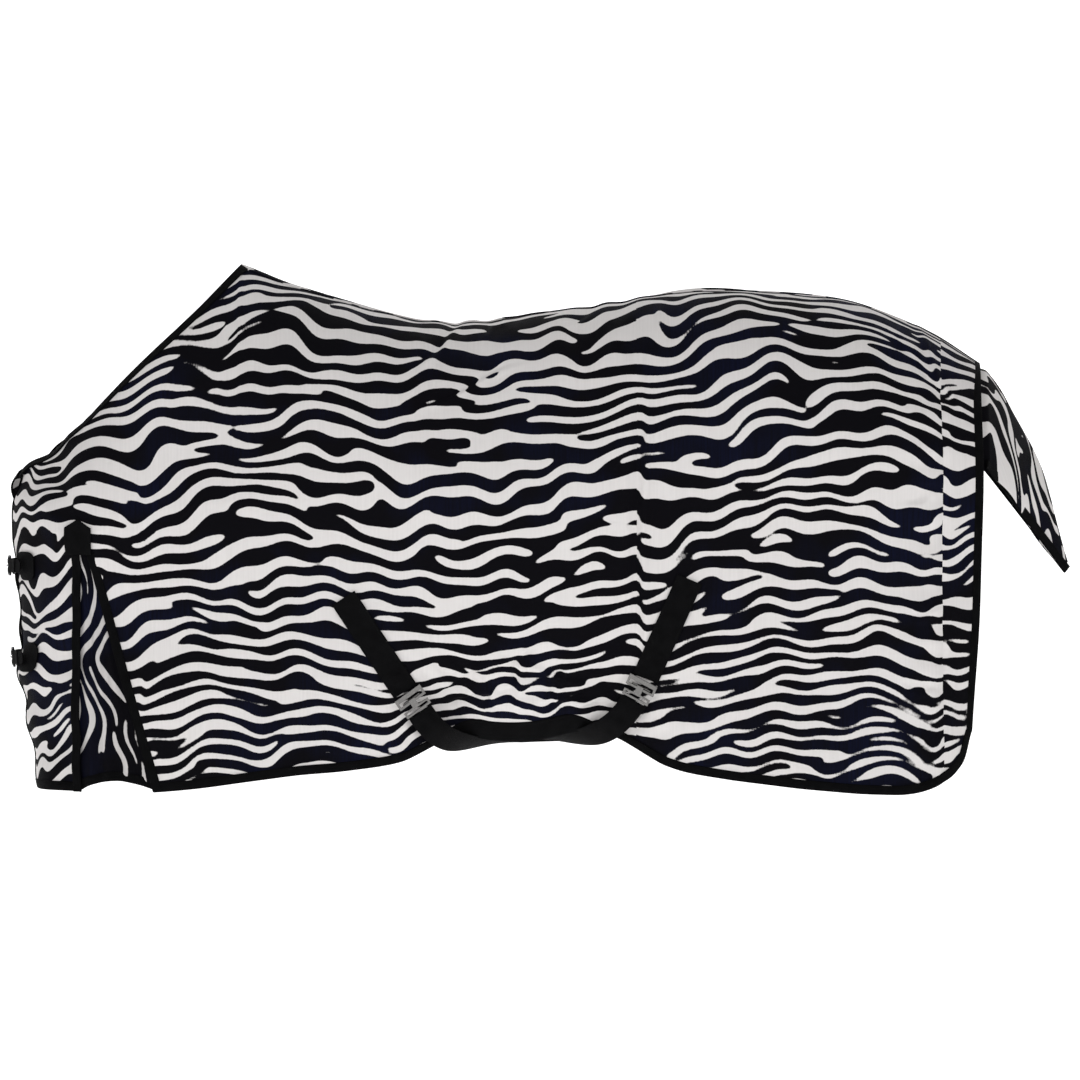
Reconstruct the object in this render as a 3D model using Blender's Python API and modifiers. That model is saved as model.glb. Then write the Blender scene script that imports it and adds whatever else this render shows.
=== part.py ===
"""Fly sheet for a horse, in the shape it has when it is worn: body panels, chest flaps, gussets,
tail flap, bindings, girth tabs, crossed girth straps and the chest buckles.

Metres, +Z up. The origin is the top of the neck edge, over the withers. -X is towards the head,
+X towards the tail, and the near (left) side faces -Y.
"""
import math

import bmesh
import bpy
from mathutils import Vector

# Cloth and webbing
CLOTH_T = 0.0020
BINDING_W = 0.017
BINDING_T = 0.0034
WEBBING_T = 0.0020
GAP = 0.0006
SEAM_HALF_W = 0.010

# Outline along the body, as (x, value) pairs that a smooth curve passes through
TOPLINE = ((0.0, 0.0), (0.10, -0.037), (0.37, -0.108), (0.60, -0.088), (0.86, -0.049),
           (1.12, -0.066), (1.29, -0.124), (1.391, -0.184))
NECK_LINE = ((-0.419, -0.386), (-0.367, -0.357), (-0.31, -0.310), (-0.16, -0.160), (0.0, 0.0))
HALF_WIDTH = ((-0.20, 0.235), (-0.12, 0.242), (0.05, 0.272), (0.38, 0.312), (0.75, 0.288),
              (1.08, 0.292), (1.28, 0.258), (1.395, 0.205))
WIDEST_Z = ((-0.43, -0.520), (-0.20, -0.470), (0.05, -0.440), (0.38, -0.460), (0.75, -0.420),
            (1.08, -0.360), (1.395, -0.385))
HEM_Z = ((-0.43, -0.983), (-0.16, -0.987), (0.10, -0.955), (0.30, -0.931), (0.40, -0.882),
         (0.47, -0.866), (0.64, -0.862), (0.71, -0.884), (0.80, -0.938), (0.95, -0.966), (1.226, -0.991), (1.305, -0.974),
         (1.352, -0.932), (1.372, -0.872), (1.395, -0.860))
HEM_SPREAD = ((-0.20, 0.98), (0.15, 0.96), (0.30, 0.82), (0.42, 0.58), (0.66, 0.60),
              (0.79, 0.80), (0.95, 0.93), (1.20, 0.96), (1.395, 0.95))
REAR_HEM_X = 1.372
REAR_X = 1.393
SEAM_X = 1.318
FLANK_X = 0.745

# Chest, a quarter ellipse in plan
CHEST_X = -0.20
CHEST_LENGTH = 0.229
CHEST_HALF_W = 0.235
CHEST_TUCK = 0.045
NECK_HALF_W = 0.135

# Shoulder gusset: the slit, its two edges and the swing of the chest apron
SLIT_X = -0.296
SLIT_Z = -0.498
SLIT_FOOT_X = -0.160
GUSSET_SHEAR_END_X = 0.16
GUSSET_TOP_Z = -0.556
GUSSET_ARCH = 0.020
APRON_SWING_DEG = 12.0
WEDGE_DEG = APRON_SWING_DEG + 1.2
PATCH_W = 0.055
PATCH_TOP_Z = -0.477
PATCH_SHOULDER_Z = -0.493
PATCH_FOOT_Z = -0.543

# Chest straps and buckles
STRAP_LEVELS = {"upper": -0.566, "lower": -0.738}
STRAP_W = 0.025
CHEST_PATCH_H = 0.062
CHEST_PATCH_FROM = 0.070
CHEST_PATCH_TO = 0.140
BILLET_TIP = 0.108
BUCKLE_AT = 0.036
FRAME_H = 0.035
FRAME_L = 0.027
WIRE_R = 0.0019
BUCKLE_RISE = 0.0078
TONGUE_R = 0.0014
KEEPER_AT = 0.078
KEEPER_L = 0.011

# Girth tabs, clips and straps: each tab runs from its top to its foot, as (x, z)
GIRTH_W = 0.050
GIRTH_TABS = {"front": ((0.197, -0.622), (0.312, -0.796)), "rear": ((0.844, -0.587), (0.762, -0.772))}
STRAP_CROSSING = (0.535, -0.8985)
STRAP_CROSSING_STEP = 0.0050
STRAP_LEAVE = (0.050, -0.004, -0.078)
STRAP_ARRIVE = (0.080, -0.004, -0.140)
STRAP_UNDER = 0.17
PLATE_W = 0.058
PLATE_L = 0.022
PLATE_T = 0.0022
PLATE_RISE = 0.0070

# Tail flap
DOCK = (REAR_X, 0.0, TOPLINE[-1][1])
TAIL_TIP = (1.553, -0.580)
TAIL_BACK = ((0.0, 1.397, -0.187), (0.30, 1.452, -0.266), (0.65, 1.514, -0.403), (1.0, 1.557, -0.560))
TAIL_ROOT_Z = -0.380
TAIL_ROOT_HALF_W = 0.200
TAIL_TIP_HALF_W = 0.022

SIDES = {"near": -1.0, "off": 1.0}
COLLECTION = "fly_sheet"


def smooth(points, x):
    """The value at x of a smooth curve through (x, value) points, level outside their range."""
    if x <= points[0][0]:
        return points[0][1]
    if x >= points[-1][0]:
        return points[-1][1]
    slopes = []
    for i in range(len(points)):
        a = points[max(i - 1, 0)]
        b = points[min(i + 1, len(points) - 1)]
        slopes.append((b[1] - a[1]) / (b[0] - a[0]))
    i = 0
    while points[i + 1][0] < x:
        i += 1
    (x0, y0), (x1, y1) = points[i], points[i + 1]
    h = x1 - x0
    t = (x - x0) / h
    value = y0 * (1 + 2 * t) * (1 - t) ** 2 + y1 * t * t * (3 - 2 * t)
    return value + h * (slopes[i] * t * (1 - t) ** 2 - slopes[i + 1] * t * t * (1 - t))


def mix(a, b, t):
    return a + (b - a) * t


def spread(n, start=0.0, end=1.0):
    """n + 1 even steps from start to end."""
    return [mix(start, end, i / n) for i in range(n + 1)]


# The surface of the cloth


def make_contour():
    """The widest line of the near side in plan, from the middle of the chest to the rear edge."""
    rows = []
    for i in range(161):
        lean = math.radians(90.0 * (1.0 - i / 160.0))
        rows.append((CHEST_X - CHEST_LENGTH * math.sin(lean), CHEST_HALF_W * math.cos(lean), math.sin(lean)))
    for x in spread(320, CHEST_X, REAR_X)[1:]:
        rows.append((x, smooth(HALF_WIDTH, x), 0.0))
    far = [0.0]
    for a, b in zip(rows, rows[1:]):
        far.append(far[-1] + math.hypot(b[0] - a[0], b[1] - a[1]))
    return rows, far


CONTOUR, CONTOUR_FAR = make_contour()
CONTOUR_END = CONTOUR_FAR[-1]
COLUMNS = {}


def lookup(far, value):
    """The segment of a rising list that holds value, and how far along it."""
    value = min(max(value, far[0]), far[-1])
    lo = 0
    hi = len(far) - 1
    while hi - lo > 1:
        mid = (lo + hi) // 2
        if far[mid] <= value:
            lo = mid
        else:
            hi = mid
    return lo, (value - far[lo]) / (far[hi] - far[lo])


def station(x):
    """Distance round the contour from the middle of the chest to the column at x."""
    xs = [row[0] for row in CONTOUR]
    i, t = lookup(xs, x)
    return mix(CONTOUR_FAR[i], CONTOUR_FAR[i + 1], t)


def neck_half_width(x):
    """Half the width of the neck opening at x, pointed at the withers and round at the chest."""
    u = min(max(x / NECK_LINE[0][0], 0.0), 1.0)
    return NECK_HALF_W * math.sin(math.pi * u ** 0.9) ** 0.85


def column(s):
    """One line of the near side from its top edge to the hem: points and distances down it."""
    key = round(s, 5)
    if key in COLUMNS:
        return COLUMNS[key]
    i, t = lookup(CONTOUR_FAR, s)
    x, y, lean = (mix(a, b, t) for a, b in zip(CONTOUR[i], CONTOUR[i + 1]))
    top_x = x + 0.010 * lean
    if top_x < 0.0:
        top = Vector((top_x, neck_half_width(top_x), smooth(NECK_LINE, top_x)))
        roundness = 0.55
    else:
        top = Vector((top_x, 0.0, smooth(TOPLINE, top_x)))
        roundness = min(1.0, 0.55 + top_x * 3.0)
    wide = Vector((x, y, smooth(WIDEST_Z, x)))
    hem_x = x + CHEST_TUCK * lean ** 4
    if x > SEAM_X:
        hem_x = mix(SEAM_X, REAR_HEM_X, (x - SEAM_X) / (REAR_X - SEAM_X))
    hem = Vector((hem_x, y * smooth(HEM_SPREAD, x), smooth(HEM_Z, hem_x)))
    points = []
    for a in spread(48, 0.0, math.pi / 2):
        arc = Vector((mix(top.x, wide.x, math.sin(a)), mix(top.y, wide.y, math.sin(a)),
                      mix(wide.z, top.z, math.cos(a))))
        line = top.lerp(wide, a / (math.pi / 2))
        points.append(line.lerp(arc, roundness))
    for b in spread(48)[1:]:
        point = wide.lerp(hem, b)
        tuck = b ** 2.4
        points.append(Vector((mix(wide.x, hem.x, tuck), mix(wide.y, hem.y, tuck), point.z)))
    far = [0.0]
    for a, b in zip(points, points[1:]):
        far.append(far[-1] + (b - a).length)
    COLUMNS[key] = (points, far)
    return COLUMNS[key]


def drop(s):
    """Length of the column at s, from its top edge to the hem."""
    return column(s)[1][-1]


def drop_to(s, z):
    """Distance down the column at s to the height z."""
    points, far = column(s)
    i, t = lookup([-p.z for p in points], -z)
    return mix(far[i], far[i + 1], t)


def near_point(s, d):
    points, far = column(s)
    i, t = lookup(far, d)
    return points[i].lerp(points[i + 1], t)


def skin(s, d, side, rise=0.0):
    """A point of the cloth, s round the contour and d down the column, rise outside it."""
    step = 0.004
    point = near_point(abs(s), d)
    if rise:
        low = near_point(abs(s), max(d - step, 0.0))
        high = near_point(abs(s), min(d + step, drop(abs(s))))
        fore = near_point(max(abs(s) - step, 0.0), d)
        aft = near_point(min(abs(s) + step, CONTOUR_END), d)
        if abs(s) < step:
            fore = Vector((aft.x, -aft.y, aft.z))
        point = point + (aft - fore).cross(high - low).normalized() * rise
    return Vector((point.x, point.y * side, point.z))


def skin_at(x, z, side, rise=0.0):
    """A point of the cloth at x and height z."""
    s = station(x)
    return skin(s, drop_to(s, z), side, rise)


def chest(a, z, rise):
    """A point of the chest: a round it from the middle, positive on the near side."""
    s = abs(a)
    return skin(s, drop_to(s, z), -1.0 if a >= 0.0 else 1.0, rise)


# Building


def clear_scene():
    for obj in list(bpy.data.objects):
        bpy.data.objects.remove(obj, do_unlink=True)


def material(name, color, roughness, metallic=0.0):
    mat = bpy.data.materials.get(name)
    if mat is None:
        mat = bpy.data.materials.new(name)
        mat.use_nodes = True
        shader = mat.node_tree.nodes["Principled BSDF"]
        shader.inputs["Base Color"].default_value = (*color, 1.0)
        shader.inputs["Roughness"].default_value = roughness
        shader.inputs["Metallic"].default_value = metallic
    return mat


def print_cloth():
    return material("zebra_mesh_cloth", (0.40, 0.39, 0.40), 0.55)


def black_binding():
    return material("black_binding", (0.006, 0.006, 0.008), 0.75)


def black_webbing():
    return material("black_webbing", (0.008, 0.008, 0.010), 0.70)


def silver_metal():
    return material("silver_metal", (0.72, 0.72, 0.72), 0.30, 1.0)


def black_metal():
    return material("black_metal", (0.012, 0.012, 0.014), 0.35, 1.0)


def link(obj, mat):
    bpy.data.collections[COLLECTION].objects.link(obj)
    obj.data.materials.append(mat)
    return obj


def sheet(name, us, vs, place, thickness, mat, hole=None, origin=None):
    """A grid over us and vs, each corner put where place says, and thickened into a closed sheet."""
    bm = bmesh.new()
    nu = len(us) - 1
    nv = len(vs) - 1
    bmesh.ops.create_grid(bm, x_segments=nu, y_segments=nv, size=0.5)
    if hole:
        cut = []
        for face in bm.faces:
            middle = face.calc_center_median()
            if hole(int((middle.x + 0.5) * nu), int((middle.y + 0.5) * nv)):
                cut.append(face)
        bmesh.ops.delete(bm, geom=cut, context="FACES")
    start = Vector(origin) if origin else Vector((0.0, 0.0, 0.0))
    for vert in bm.verts:
        u = us[round((vert.co.x + 0.5) * nu)]
        v = vs[round((vert.co.y + 0.5) * nv)]
        vert.co = place(u, v) - start
    mesh = bpy.data.meshes.new(name)
    bm.to_mesh(mesh)
    bm.free()
    obj = link(bpy.data.objects.new(name, mesh), mat)
    obj.location = start
    solid = obj.modifiers.new("thickness", "SOLIDIFY")
    solid.thickness = thickness
    solid.offset = 0.0
    return obj


def wire(name, points, radius, mat, closed=False, origin=None):
    """A round wire through points."""
    curve = bpy.data.curves.new(name, "CURVE")
    curve.dimensions = "3D"
    curve.bevel_depth = radius
    curve.bevel_resolution = 1
    curve.use_fill_caps = True
    spline = curve.splines.new("POLY")
    spline.points.add(len(points) - 1)
    start = Vector(origin) if origin else Vector((0.0, 0.0, 0.0))
    for target, point in zip(spline.points, points):
        target.co = (*(Vector(point) - start), 1.0)
    spline.use_cyclic_u = closed
    obj = link(bpy.data.objects.new(name, curve), mat)
    obj.location = start
    return obj


# Stations that neighbouring pieces share, so that their edges run side by side

S_SLIT = station(SLIT_X)
S_FOOT = station(SLIT_FOOT_X)
S_SHEAR_END = station(GUSSET_SHEAR_END_X)
S_FLANK = station(FLANK_X)
S_SEAM = station(SEAM_X)
S_WITHERS = station(0.0)
FRONT_STATIONS = spread(9, 0.0015, S_SLIT)
BODY_STATIONS = (spread(6, S_SLIT, S_WITHERS)[:-1] + spread(2, S_WITHERS, S_SHEAR_END)[:-1]
                 + spread(8, S_SHEAR_END, S_FLANK)[:-1] + spread(8, S_FLANK, S_SEAM))
UPPER_ROWS = spread(8)
LOWER_ROWS = spread(9, 1.0, 2.0)[1:]


def top_margin(s):
    """How far below the top edge the cloth starts: under the neck binding or beside the seam."""
    return BINDING_W + 3 * GAP if s < S_WITHERS + GAP else SEAM_HALF_W + GAP


def sheared(s, w):
    """The station s moved back behind the gusset's rear edge, w of the way from slit to hem."""
    if s >= S_SHEAR_END:
        return s
    edge = mix(S_SLIT, S_FOOT, w)
    return mix(edge, S_SHEAR_END, (s - S_SLIT) / (S_SHEAR_END - S_SLIT))


def slit_taper(w):
    """Share of its full width that the rear strip has, w of the way from the slit's top to its foot."""
    return min(1.0, w * (len(LOWER_ROWS) - 1))


def slit_depth(s):
    return drop_to(s, SLIT_Z)


def below_slit(s, w, margin=0.0):
    """Depth down the column at s, w of the way from the slit's height to margin above the hem."""
    return mix(slit_depth(s), drop(s) - margin, w)


def row_depth(s, row):
    """Depth of a row: 0 to 1 down to the slit's height, 1 to 2 down to the hem binding, 3 the hem."""
    if row <= 1.0:
        return mix(top_margin(s), slit_depth(s), row)
    if row <= 2.0:
        return below_slit(s, row - 1.0, BINDING_W + GAP)
    return drop(s)


def panel_place(side):
    inset = BINDING_W + 2 * GAP

    def place(s, row):
        if row <= 1.0:
            return skin(s, mix(top_margin(s), slit_depth(s), row), side)
        w = row - 1.0
        moved = sheared(s, w)
        if s < S_SHEAR_END:
            share = (S_SHEAR_END - s) / (S_SHEAR_END - S_SLIT)
            moved += inset * share * slit_taper(w)
        return skin(moved, below_slit(moved, w, inset - GAP), side)
    return place


def side_panels(word, side):
    """The side of the sheet in three lengths: round the shoulder, along the barrel and over the croup."""
    rows = UPPER_ROWS + LOWER_ROWS
    front = len(FRONT_STATIONS) - 1
    slit_row = len(UPPER_ROWS) - 1
    shoulder = FRONT_STATIONS + [s for s in BODY_STATIONS[1:] if s <= S_SHEAR_END]
    barrel = [s for s in BODY_STATIONS if S_SHEAR_END < s < S_FLANK]
    croup = [s for s in BODY_STATIONS if s > S_FLANK]
    sheet(f"{word}_shoulder_panel", shoulder, rows, panel_place(side), CLOTH_T, print_cloth(),
          hole=lambda i, j: i < front and j >= slit_row)
    sheet(f"{word}_barrel_panel", [S_SHEAR_END + GAP] + barrel + [S_FLANK - GAP], rows, panel_place(side),
          CLOTH_T, print_cloth())
    sheet(f"{word}_croup_panel", [S_FLANK] + croup, rows, panel_place(side), CLOTH_T, print_cloth())


def hind_panel(word, side):
    start = S_SEAM + GAP
    end = CONTOUR_END - BINDING_W - GAP

    def place(s, row):
        return skin(s, row_depth(s, row), side)
    sheet(f"{word}_hind_panel", spread(2, start, end), UPPER_ROWS + LOWER_ROWS, place, CLOTH_T, print_cloth())


def spine_seam():
    def place(s, across):
        side = -1.0 if across < 0.0 else 1.0
        return skin(s, abs(across), side)
    stations = [s for s in BODY_STATIONS if s > S_WITHERS + 0.001]
    stations = [S_WITHERS + 2 * GAP] + stations + [CONTOUR_END]
    sheet("spine_seam", stations, [-SEAM_HALF_W, 0.0, SEAM_HALF_W], place, BINDING_T, print_cloth())


def neck_binding(word, side):
    stations = [0.016] + FRONT_STATIONS[1:] + [s for s in BODY_STATIONS[1:] if s <= S_WITHERS - 0.001]
    stations.append(S_WITHERS - GAP)
    first = 0.0008 / BINDING_W

    def place(s, across):
        return skin(s, across * BINDING_W, side)
    sheet(f"{word}_neck_binding", stations, [first, 1.0], place, BINDING_T, black_binding())


def hem_binding(word, side):
    stations = BODY_STATIONS + spread(2, S_SEAM, CONTOUR_END - BINDING_W - GAP)[1:]

    def place(s, up):
        moved = sheared(s, 1.0)
        if s < S_SHEAR_END:
            moved += (BINDING_W + 2 * GAP) * (S_SHEAR_END - s) / (S_SHEAR_END - S_SLIT)
        return skin(moved, drop(moved) - up, side)
    sheet(f"{word}_hem_binding", stations, [0.0, BINDING_W], place, BINDING_T, black_binding())


def rear_binding(word, side):
    def place(back, row):
        s = CONTOUR_END - back
        return skin(s, row_depth(s, row), side)
    rows = UPPER_ROWS + LOWER_ROWS + [3.0]
    sheet(f"{word}_rear_binding", [BINDING_W, 0.0], rows, place, BINDING_T, black_binding())


# Gusset


def gusset_binding(word, side):
    """The strip down the gusset's rear edge, where the side panel starts."""
    def place(across, w):
        s = mix(S_SLIT, S_FOOT, w) + mix(GAP, (BINDING_W + 2 * GAP) * slit_taper(w) - GAP, across)
        return skin(s, below_slit(s, w), side)
    rows = [0.04] + [row - 1.0 for row in LOWER_ROWS]
    sheet(f"{word}_gusset_binding", [0.0, 1.0], rows, place, BINDING_T, black_binding())


def gusset_edge(across, z, bottom_margin=0.0):
    """Station between the flap's slit binding (0) and the gusset's rear strip (1) at height z."""
    w = (z - SLIT_Z) / (smooth(HEM_Z, SLIT_FOOT_X) - SLIT_Z)
    return mix(S_SLIT + GAP - 0.004, mix(S_SLIT, S_FOOT, w) - GAP, across)


def gusset_foot_z(across):
    return smooth(HEM_Z, SLIT_FOOT_X) + GUSSET_ARCH * math.sin(math.pi * across) + 0.001


def gusset(word, side):
    def place(across, fall):
        z = mix(GUSSET_TOP_Z, gusset_foot_z(across) + BINDING_W + GAP, fall)
        s = gusset_edge(across, z)
        return skin(s, drop_to(s, z), side)
    sheet(f"{word}_gusset", spread(4), spread(8), place, CLOTH_T, print_cloth())


def gusset_hem_binding(word, side):
    def place(across, up):
        z = gusset_foot_z(across) + up
        s = gusset_edge(across, z)
        return skin(s, drop_to(s, z), side)
    sheet(f"{word}_gusset_hem_binding", spread(4), [0.0, BINDING_W], place, BINDING_T, black_binding())


def gusset_patch(word, side):
    """The five-sided patch over the top of the slit."""
    middle = S_SLIT - 0.004

    def place(across, fall):
        peak = mix(PATCH_TOP_Z, PATCH_SHOULDER_Z, abs(across))
        z = mix(peak, PATCH_FOOT_Z, fall)
        s = middle + across * PATCH_W / 2
        return skin(s, drop_to(s, z), side, 0.0042)
    sheet(f"{word}_gusset_patch", [-1.0, -0.5, 0.0, 0.5, 1.0], spread(3), place, WEBBING_T, black_webbing())


# Chest apron: the two flaps, buckled together, that hang in front of the slits


def wedge_z(s):
    """Top of the apron, which leaves room to swing up to the edge above it."""
    x = near_point(s, slit_depth(s)).x
    return SLIT_Z - 0.003 - max(SLIT_X - x, 0.0) * math.tan(math.radians(WEDGE_DEG))


APRON_STATIONS = [0.0015] + spread(8, 0.0015 + BINDING_W, S_SLIT - 0.004 - BINDING_W - GAP)


def apron_depth(s, row, margin):
    return mix(drop_to(s, wedge_z(s)), drop(s) - margin, row)


def chest_flap(word, side):
    stations = [APRON_STATIONS[1] + GAP] + APRON_STATIONS[2:]

    def place(s, row):
        return skin(s, apron_depth(s, row, BINDING_W + GAP), side)
    sheet(f"{word}_chest_flap", stations, spread(8), place, CLOTH_T, print_cloth())


def flap_hem_binding(word, side):
    stations = [APRON_STATIONS[1] + GAP] + APRON_STATIONS[2:]

    def place(s, up):
        return skin(s, drop(s) - up, side)
    sheet(f"{word}_flap_hem_binding", stations, [0.0, BINDING_W], place, BINDING_T, black_binding())


def flap_edge_binding(word, side, name, start):
    def place(across, row):
        s = start + across
        return skin(s, apron_depth(s, row, 0.0), side)
    sheet(f"{word}_{name}", [0.0, BINDING_W - GAP], spread(8), place, BINDING_T, black_binding())


def chest_patch(level, word, side):
    """The rounded patch that holds a strap's end on its flap."""
    z0 = STRAP_LEVELS[level]
    length = CHEST_PATCH_TO - CHEST_PATCH_FROM

    def place(along, up):
        ends = abs(2.0 * along - 1.0)
        height = CHEST_PATCH_H * math.sqrt(1.0 - (0.80 * ends ** 2) ** 2)
        a = CHEST_PATCH_FROM + along * length
        return chest(-side * a, z0 + up * height / 2, 0.0030)
    sheet(f"{level}_{word}_chest_patch", spread(6), spread(4, -1.0, 1.0), place, WEBBING_T, black_webbing())


def billet_rise(a):
    """How far the strap stands off the cloth, a round the chest towards the near side."""
    over_bar = BUCKLE_RISE + WIRE_R + 0.0018
    table = ((-0.140, 0.0058), (-0.060, 0.0055), (BUCKLE_AT - FRAME_L - 0.006, 0.0036),
             (BUCKLE_AT - FRAME_L + 0.006, 0.0036), (BUCKLE_AT - 0.006, over_bar),
             (BUCKLE_AT + 0.006, over_bar), (BUCKLE_AT + 0.026, 0.0085), (BILLET_TIP, 0.0085))
    return smooth(table, a)


def billet(level):
    """The strap from the off flap's patch, across the middle and through the buckle."""
    z0 = STRAP_LEVELS[level]
    slot = (BUCKLE_AT - 0.014, BUCKLE_AT + 0.007)
    stations = sorted(spread(5, -0.128, -0.010) + spread(3, 0.0, BUCKLE_AT - 0.020) + [slot[0], slot[1]]
                      + spread(2, BUCKLE_AT - 0.009, BUCKLE_AT + 0.002)
                      + spread(4, BUCKLE_AT + 0.014, BILLET_TIP))
    rows = [-1.0, -0.34, 0.34, 1.0]
    first = stations.index(slot[0])
    last = stations.index(slot[1])

    def place(a, across):
        return chest(a, z0 + across * STRAP_W / 2, billet_rise(a))
    sheet(f"{level}_billet", stations, rows, place, WEBBING_T, black_webbing(),
          hole=lambda i, j: j == 1 and first <= i < last)


def strap_frame(level):
    """Where the buckle's hinge bar is, and the directions round the chest, up and out from it."""
    z0 = STRAP_LEVELS[level]
    origin = chest(BUCKLE_AT, z0, BUCKLE_RISE)
    out = (chest(BUCKLE_AT, z0, BUCKLE_RISE + 0.01) - origin).normalized()
    up = Vector((0.0, 0.0, 1.0))
    up = (up - out * up.dot(out)).normalized()
    along = up.cross(out).normalized()
    if along.y > 0.0:
        along = -along
    return origin, along, up, out


def buckle_frame(level):
    """The four-sided wire frame; its hinge bar is the side away from the middle of the chest."""
    origin, along, up, out = strap_frame(level)
    half = FRAME_H / 2
    corner = 0.004
    outline = []
    for x, y, turn in ((0.0, half, 0), (-FRAME_L, half, 90), (-FRAME_L, -half, 180), (0.0, -half, 270)):
        cx = x + (corner if x < 0.0 else -corner)
        cy = y + (-corner if y > 0.0 else corner)
        for k in range(4):
            angle = math.radians(turn + 30 * k)
            outline.append((cx + corner * math.cos(angle), cy + corner * math.sin(angle)))
    points = [origin + along * x + up * y for x, y in outline]
    wire(f"{level}_buckle_frame", points, WIRE_R, black_metal(), closed=True, origin=origin)


def buckle_tongue(level):
    """The tongue: an open eye round the hinge bar, then a straight pin onto the far bar."""
    origin, along, up, out = strap_frame(level)
    eye = WIRE_R + TONGUE_R + 0.0004
    points = []
    for k in range(11):
        angle = math.radians(70 - 28 * k)
        points.append((eye * math.cos(angle), eye * math.sin(angle)))
    points = [(x, y) for x, y in points][::-1] + [(-0.001, eye), (-FRAME_L * 0.5, eye), (-FRAME_L - 0.001, eye)]
    points = [origin + along * x + out * y for x, y in points]
    wire(f"{level}_buckle_tongue", points, TONGUE_R, black_metal(), origin=origin)


def keeper(level):
    """The loop that holds the strap's free end down; it slides along the strap."""
    z0 = STRAP_LEVELS[level]
    rise = billet_rise(KEEPER_AT)
    origin = chest(KEEPER_AT, z0, rise)
    out = (chest(KEEPER_AT, z0, rise + 0.01) - origin).normalized()
    up = Vector((0.0, 0.0, 1.0))
    along = up.cross(out).normalized()
    up = out.cross(along)
    half_w = STRAP_W / 2 + 0.0022
    half_t = WEBBING_T / 2 + 0.0019
    ring = []
    for k in range(12):
        angle = math.radians(30 * k + 15)
        x = math.copysign(abs(math.cos(angle)) ** 0.25, math.cos(angle))
        y = math.copysign(abs(math.sin(angle)) ** 0.25, math.sin(angle))
        ring.append((half_w * x, half_t * y))
    bm = bmesh.new()
    bmesh.ops.create_circle(bm, cap_ends=False, segments=len(ring), radius=1.0)
    bm.verts.ensure_lookup_table()
    for vert, (x, y) in zip(bm.verts, ring):
        vert.co = up * x + out * y - along * KEEPER_L / 2
    edges = bmesh.ops.extrude_edge_only(bm, edges=bm.edges[:])["geom"]
    bmesh.ops.translate(bm, verts=[e for e in edges if isinstance(e, bmesh.types.BMVert)], vec=along * KEEPER_L)
    mesh = bpy.data.meshes.new(f"{level}_keeper")
    bm.to_mesh(mesh)
    bm.free()
    obj = link(bpy.data.objects.new(f"{level}_keeper", mesh), black_webbing())
    obj.location = origin
    solid = obj.modifiers.new("thickness", "SOLIDIFY")
    solid.thickness = 0.0012
    solid.offset = 0.0


# Tail flap


def tail_back(v):
    x = smooth([(row[0], row[1]) for row in TAIL_BACK], v)
    z = smooth([(row[0], row[2]) for row in TAIL_BACK], v)
    return x, z


def tail_point(u, v):
    """A point of the tail flap: u across from -1 to 1, v from the dock to the tip."""
    back_x, back_z = tail_back(v)
    root_x = REAR_X + 0.0075
    edge_x = mix(root_x, TAIL_TIP[0], v)
    edge_z = mix(TAIL_ROOT_Z, TAIL_TIP[1], v)
    half_w = mix(TAIL_ROOT_HALF_W, TAIL_TIP_HALF_W, v ** 0.8)
    angle = abs(u) * math.pi / 2
    share = 1.0 - math.cos(angle)
    y = math.copysign(half_w * math.sin(angle), u)
    return Vector((mix(back_x, edge_x, share) , y, mix(back_z, edge_z, share)))


def tail_binding_share(v):
    """The binding's width as a share of the way from the middle of the flap to its edge."""
    edge = tail_point(1.0, v)
    middle = tail_point(0.0, v)
    arc = (edge - middle).length * 1.11
    return min(0.55, BINDING_W / arc), GAP / arc


def tail_flap():
    def place(u, v):
        binding, gap = tail_binding_share(v)
        return tail_point(u * (1.0 - binding - gap), v)
    sheet("tail_flap", spread(12, -1.0, 1.0), spread(8), place, CLOTH_T, print_cloth(), origin=DOCK)


def tail_binding(word, side):
    def place(across, v):
        return tail_point(side * (1.0 - across * tail_binding_share(v)[0]), v)
    sheet(f"{word}_tail_flap_binding", [0.0, 1.0], spread(8), place, BINDING_T, black_binding(), origin=DOCK)


# Girth tabs, clips and crossed straps


def girth_tab(word, side, end):
    """A flat length of webbing sewn on the side panel."""
    (top_x, top_z), (foot_x, foot_z) = GIRTH_TABS[end]
    length = math.hypot(foot_x - top_x, foot_z - top_z)
    dx = (foot_x - top_x) / length
    dz = (foot_z - top_z) / length

    def place(along, across):
        x = top_x + dx * along * length - dz * across * GIRTH_W / 2
        z = top_z + dz * along * length + dx * across * GIRTH_W / 2
        return skin_at(x, z, side, 0.0034)
    sheet(f"{word}_{end}_girth_tab", spread(6), [-1.0, 0.0, 1.0], place, WEBBING_T, black_webbing())


def clip_frame(end, side):
    """The foot of a tab: a point on it, and the directions down the strap, across it and out."""
    (top_x, top_z), (foot_x, foot_z) = GIRTH_TABS[end]
    length = math.hypot(foot_x - top_x, foot_z - top_z)
    foot = skin_at(foot_x, foot_z, side, 0.0034)
    beyond = 0.03 / length
    ahead = skin_at(mix(top_x, foot_x, 1 + beyond), mix(top_z, foot_z, 1 + beyond), side, 0.0034)
    out = (skin_at(foot_x, foot_z, side, 0.02) - foot).normalized()
    down = (ahead - foot).normalized()
    out = (out - down * out.dot(down)).normalized()
    across = down.cross(out)
    return foot, down, across, out


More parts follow.
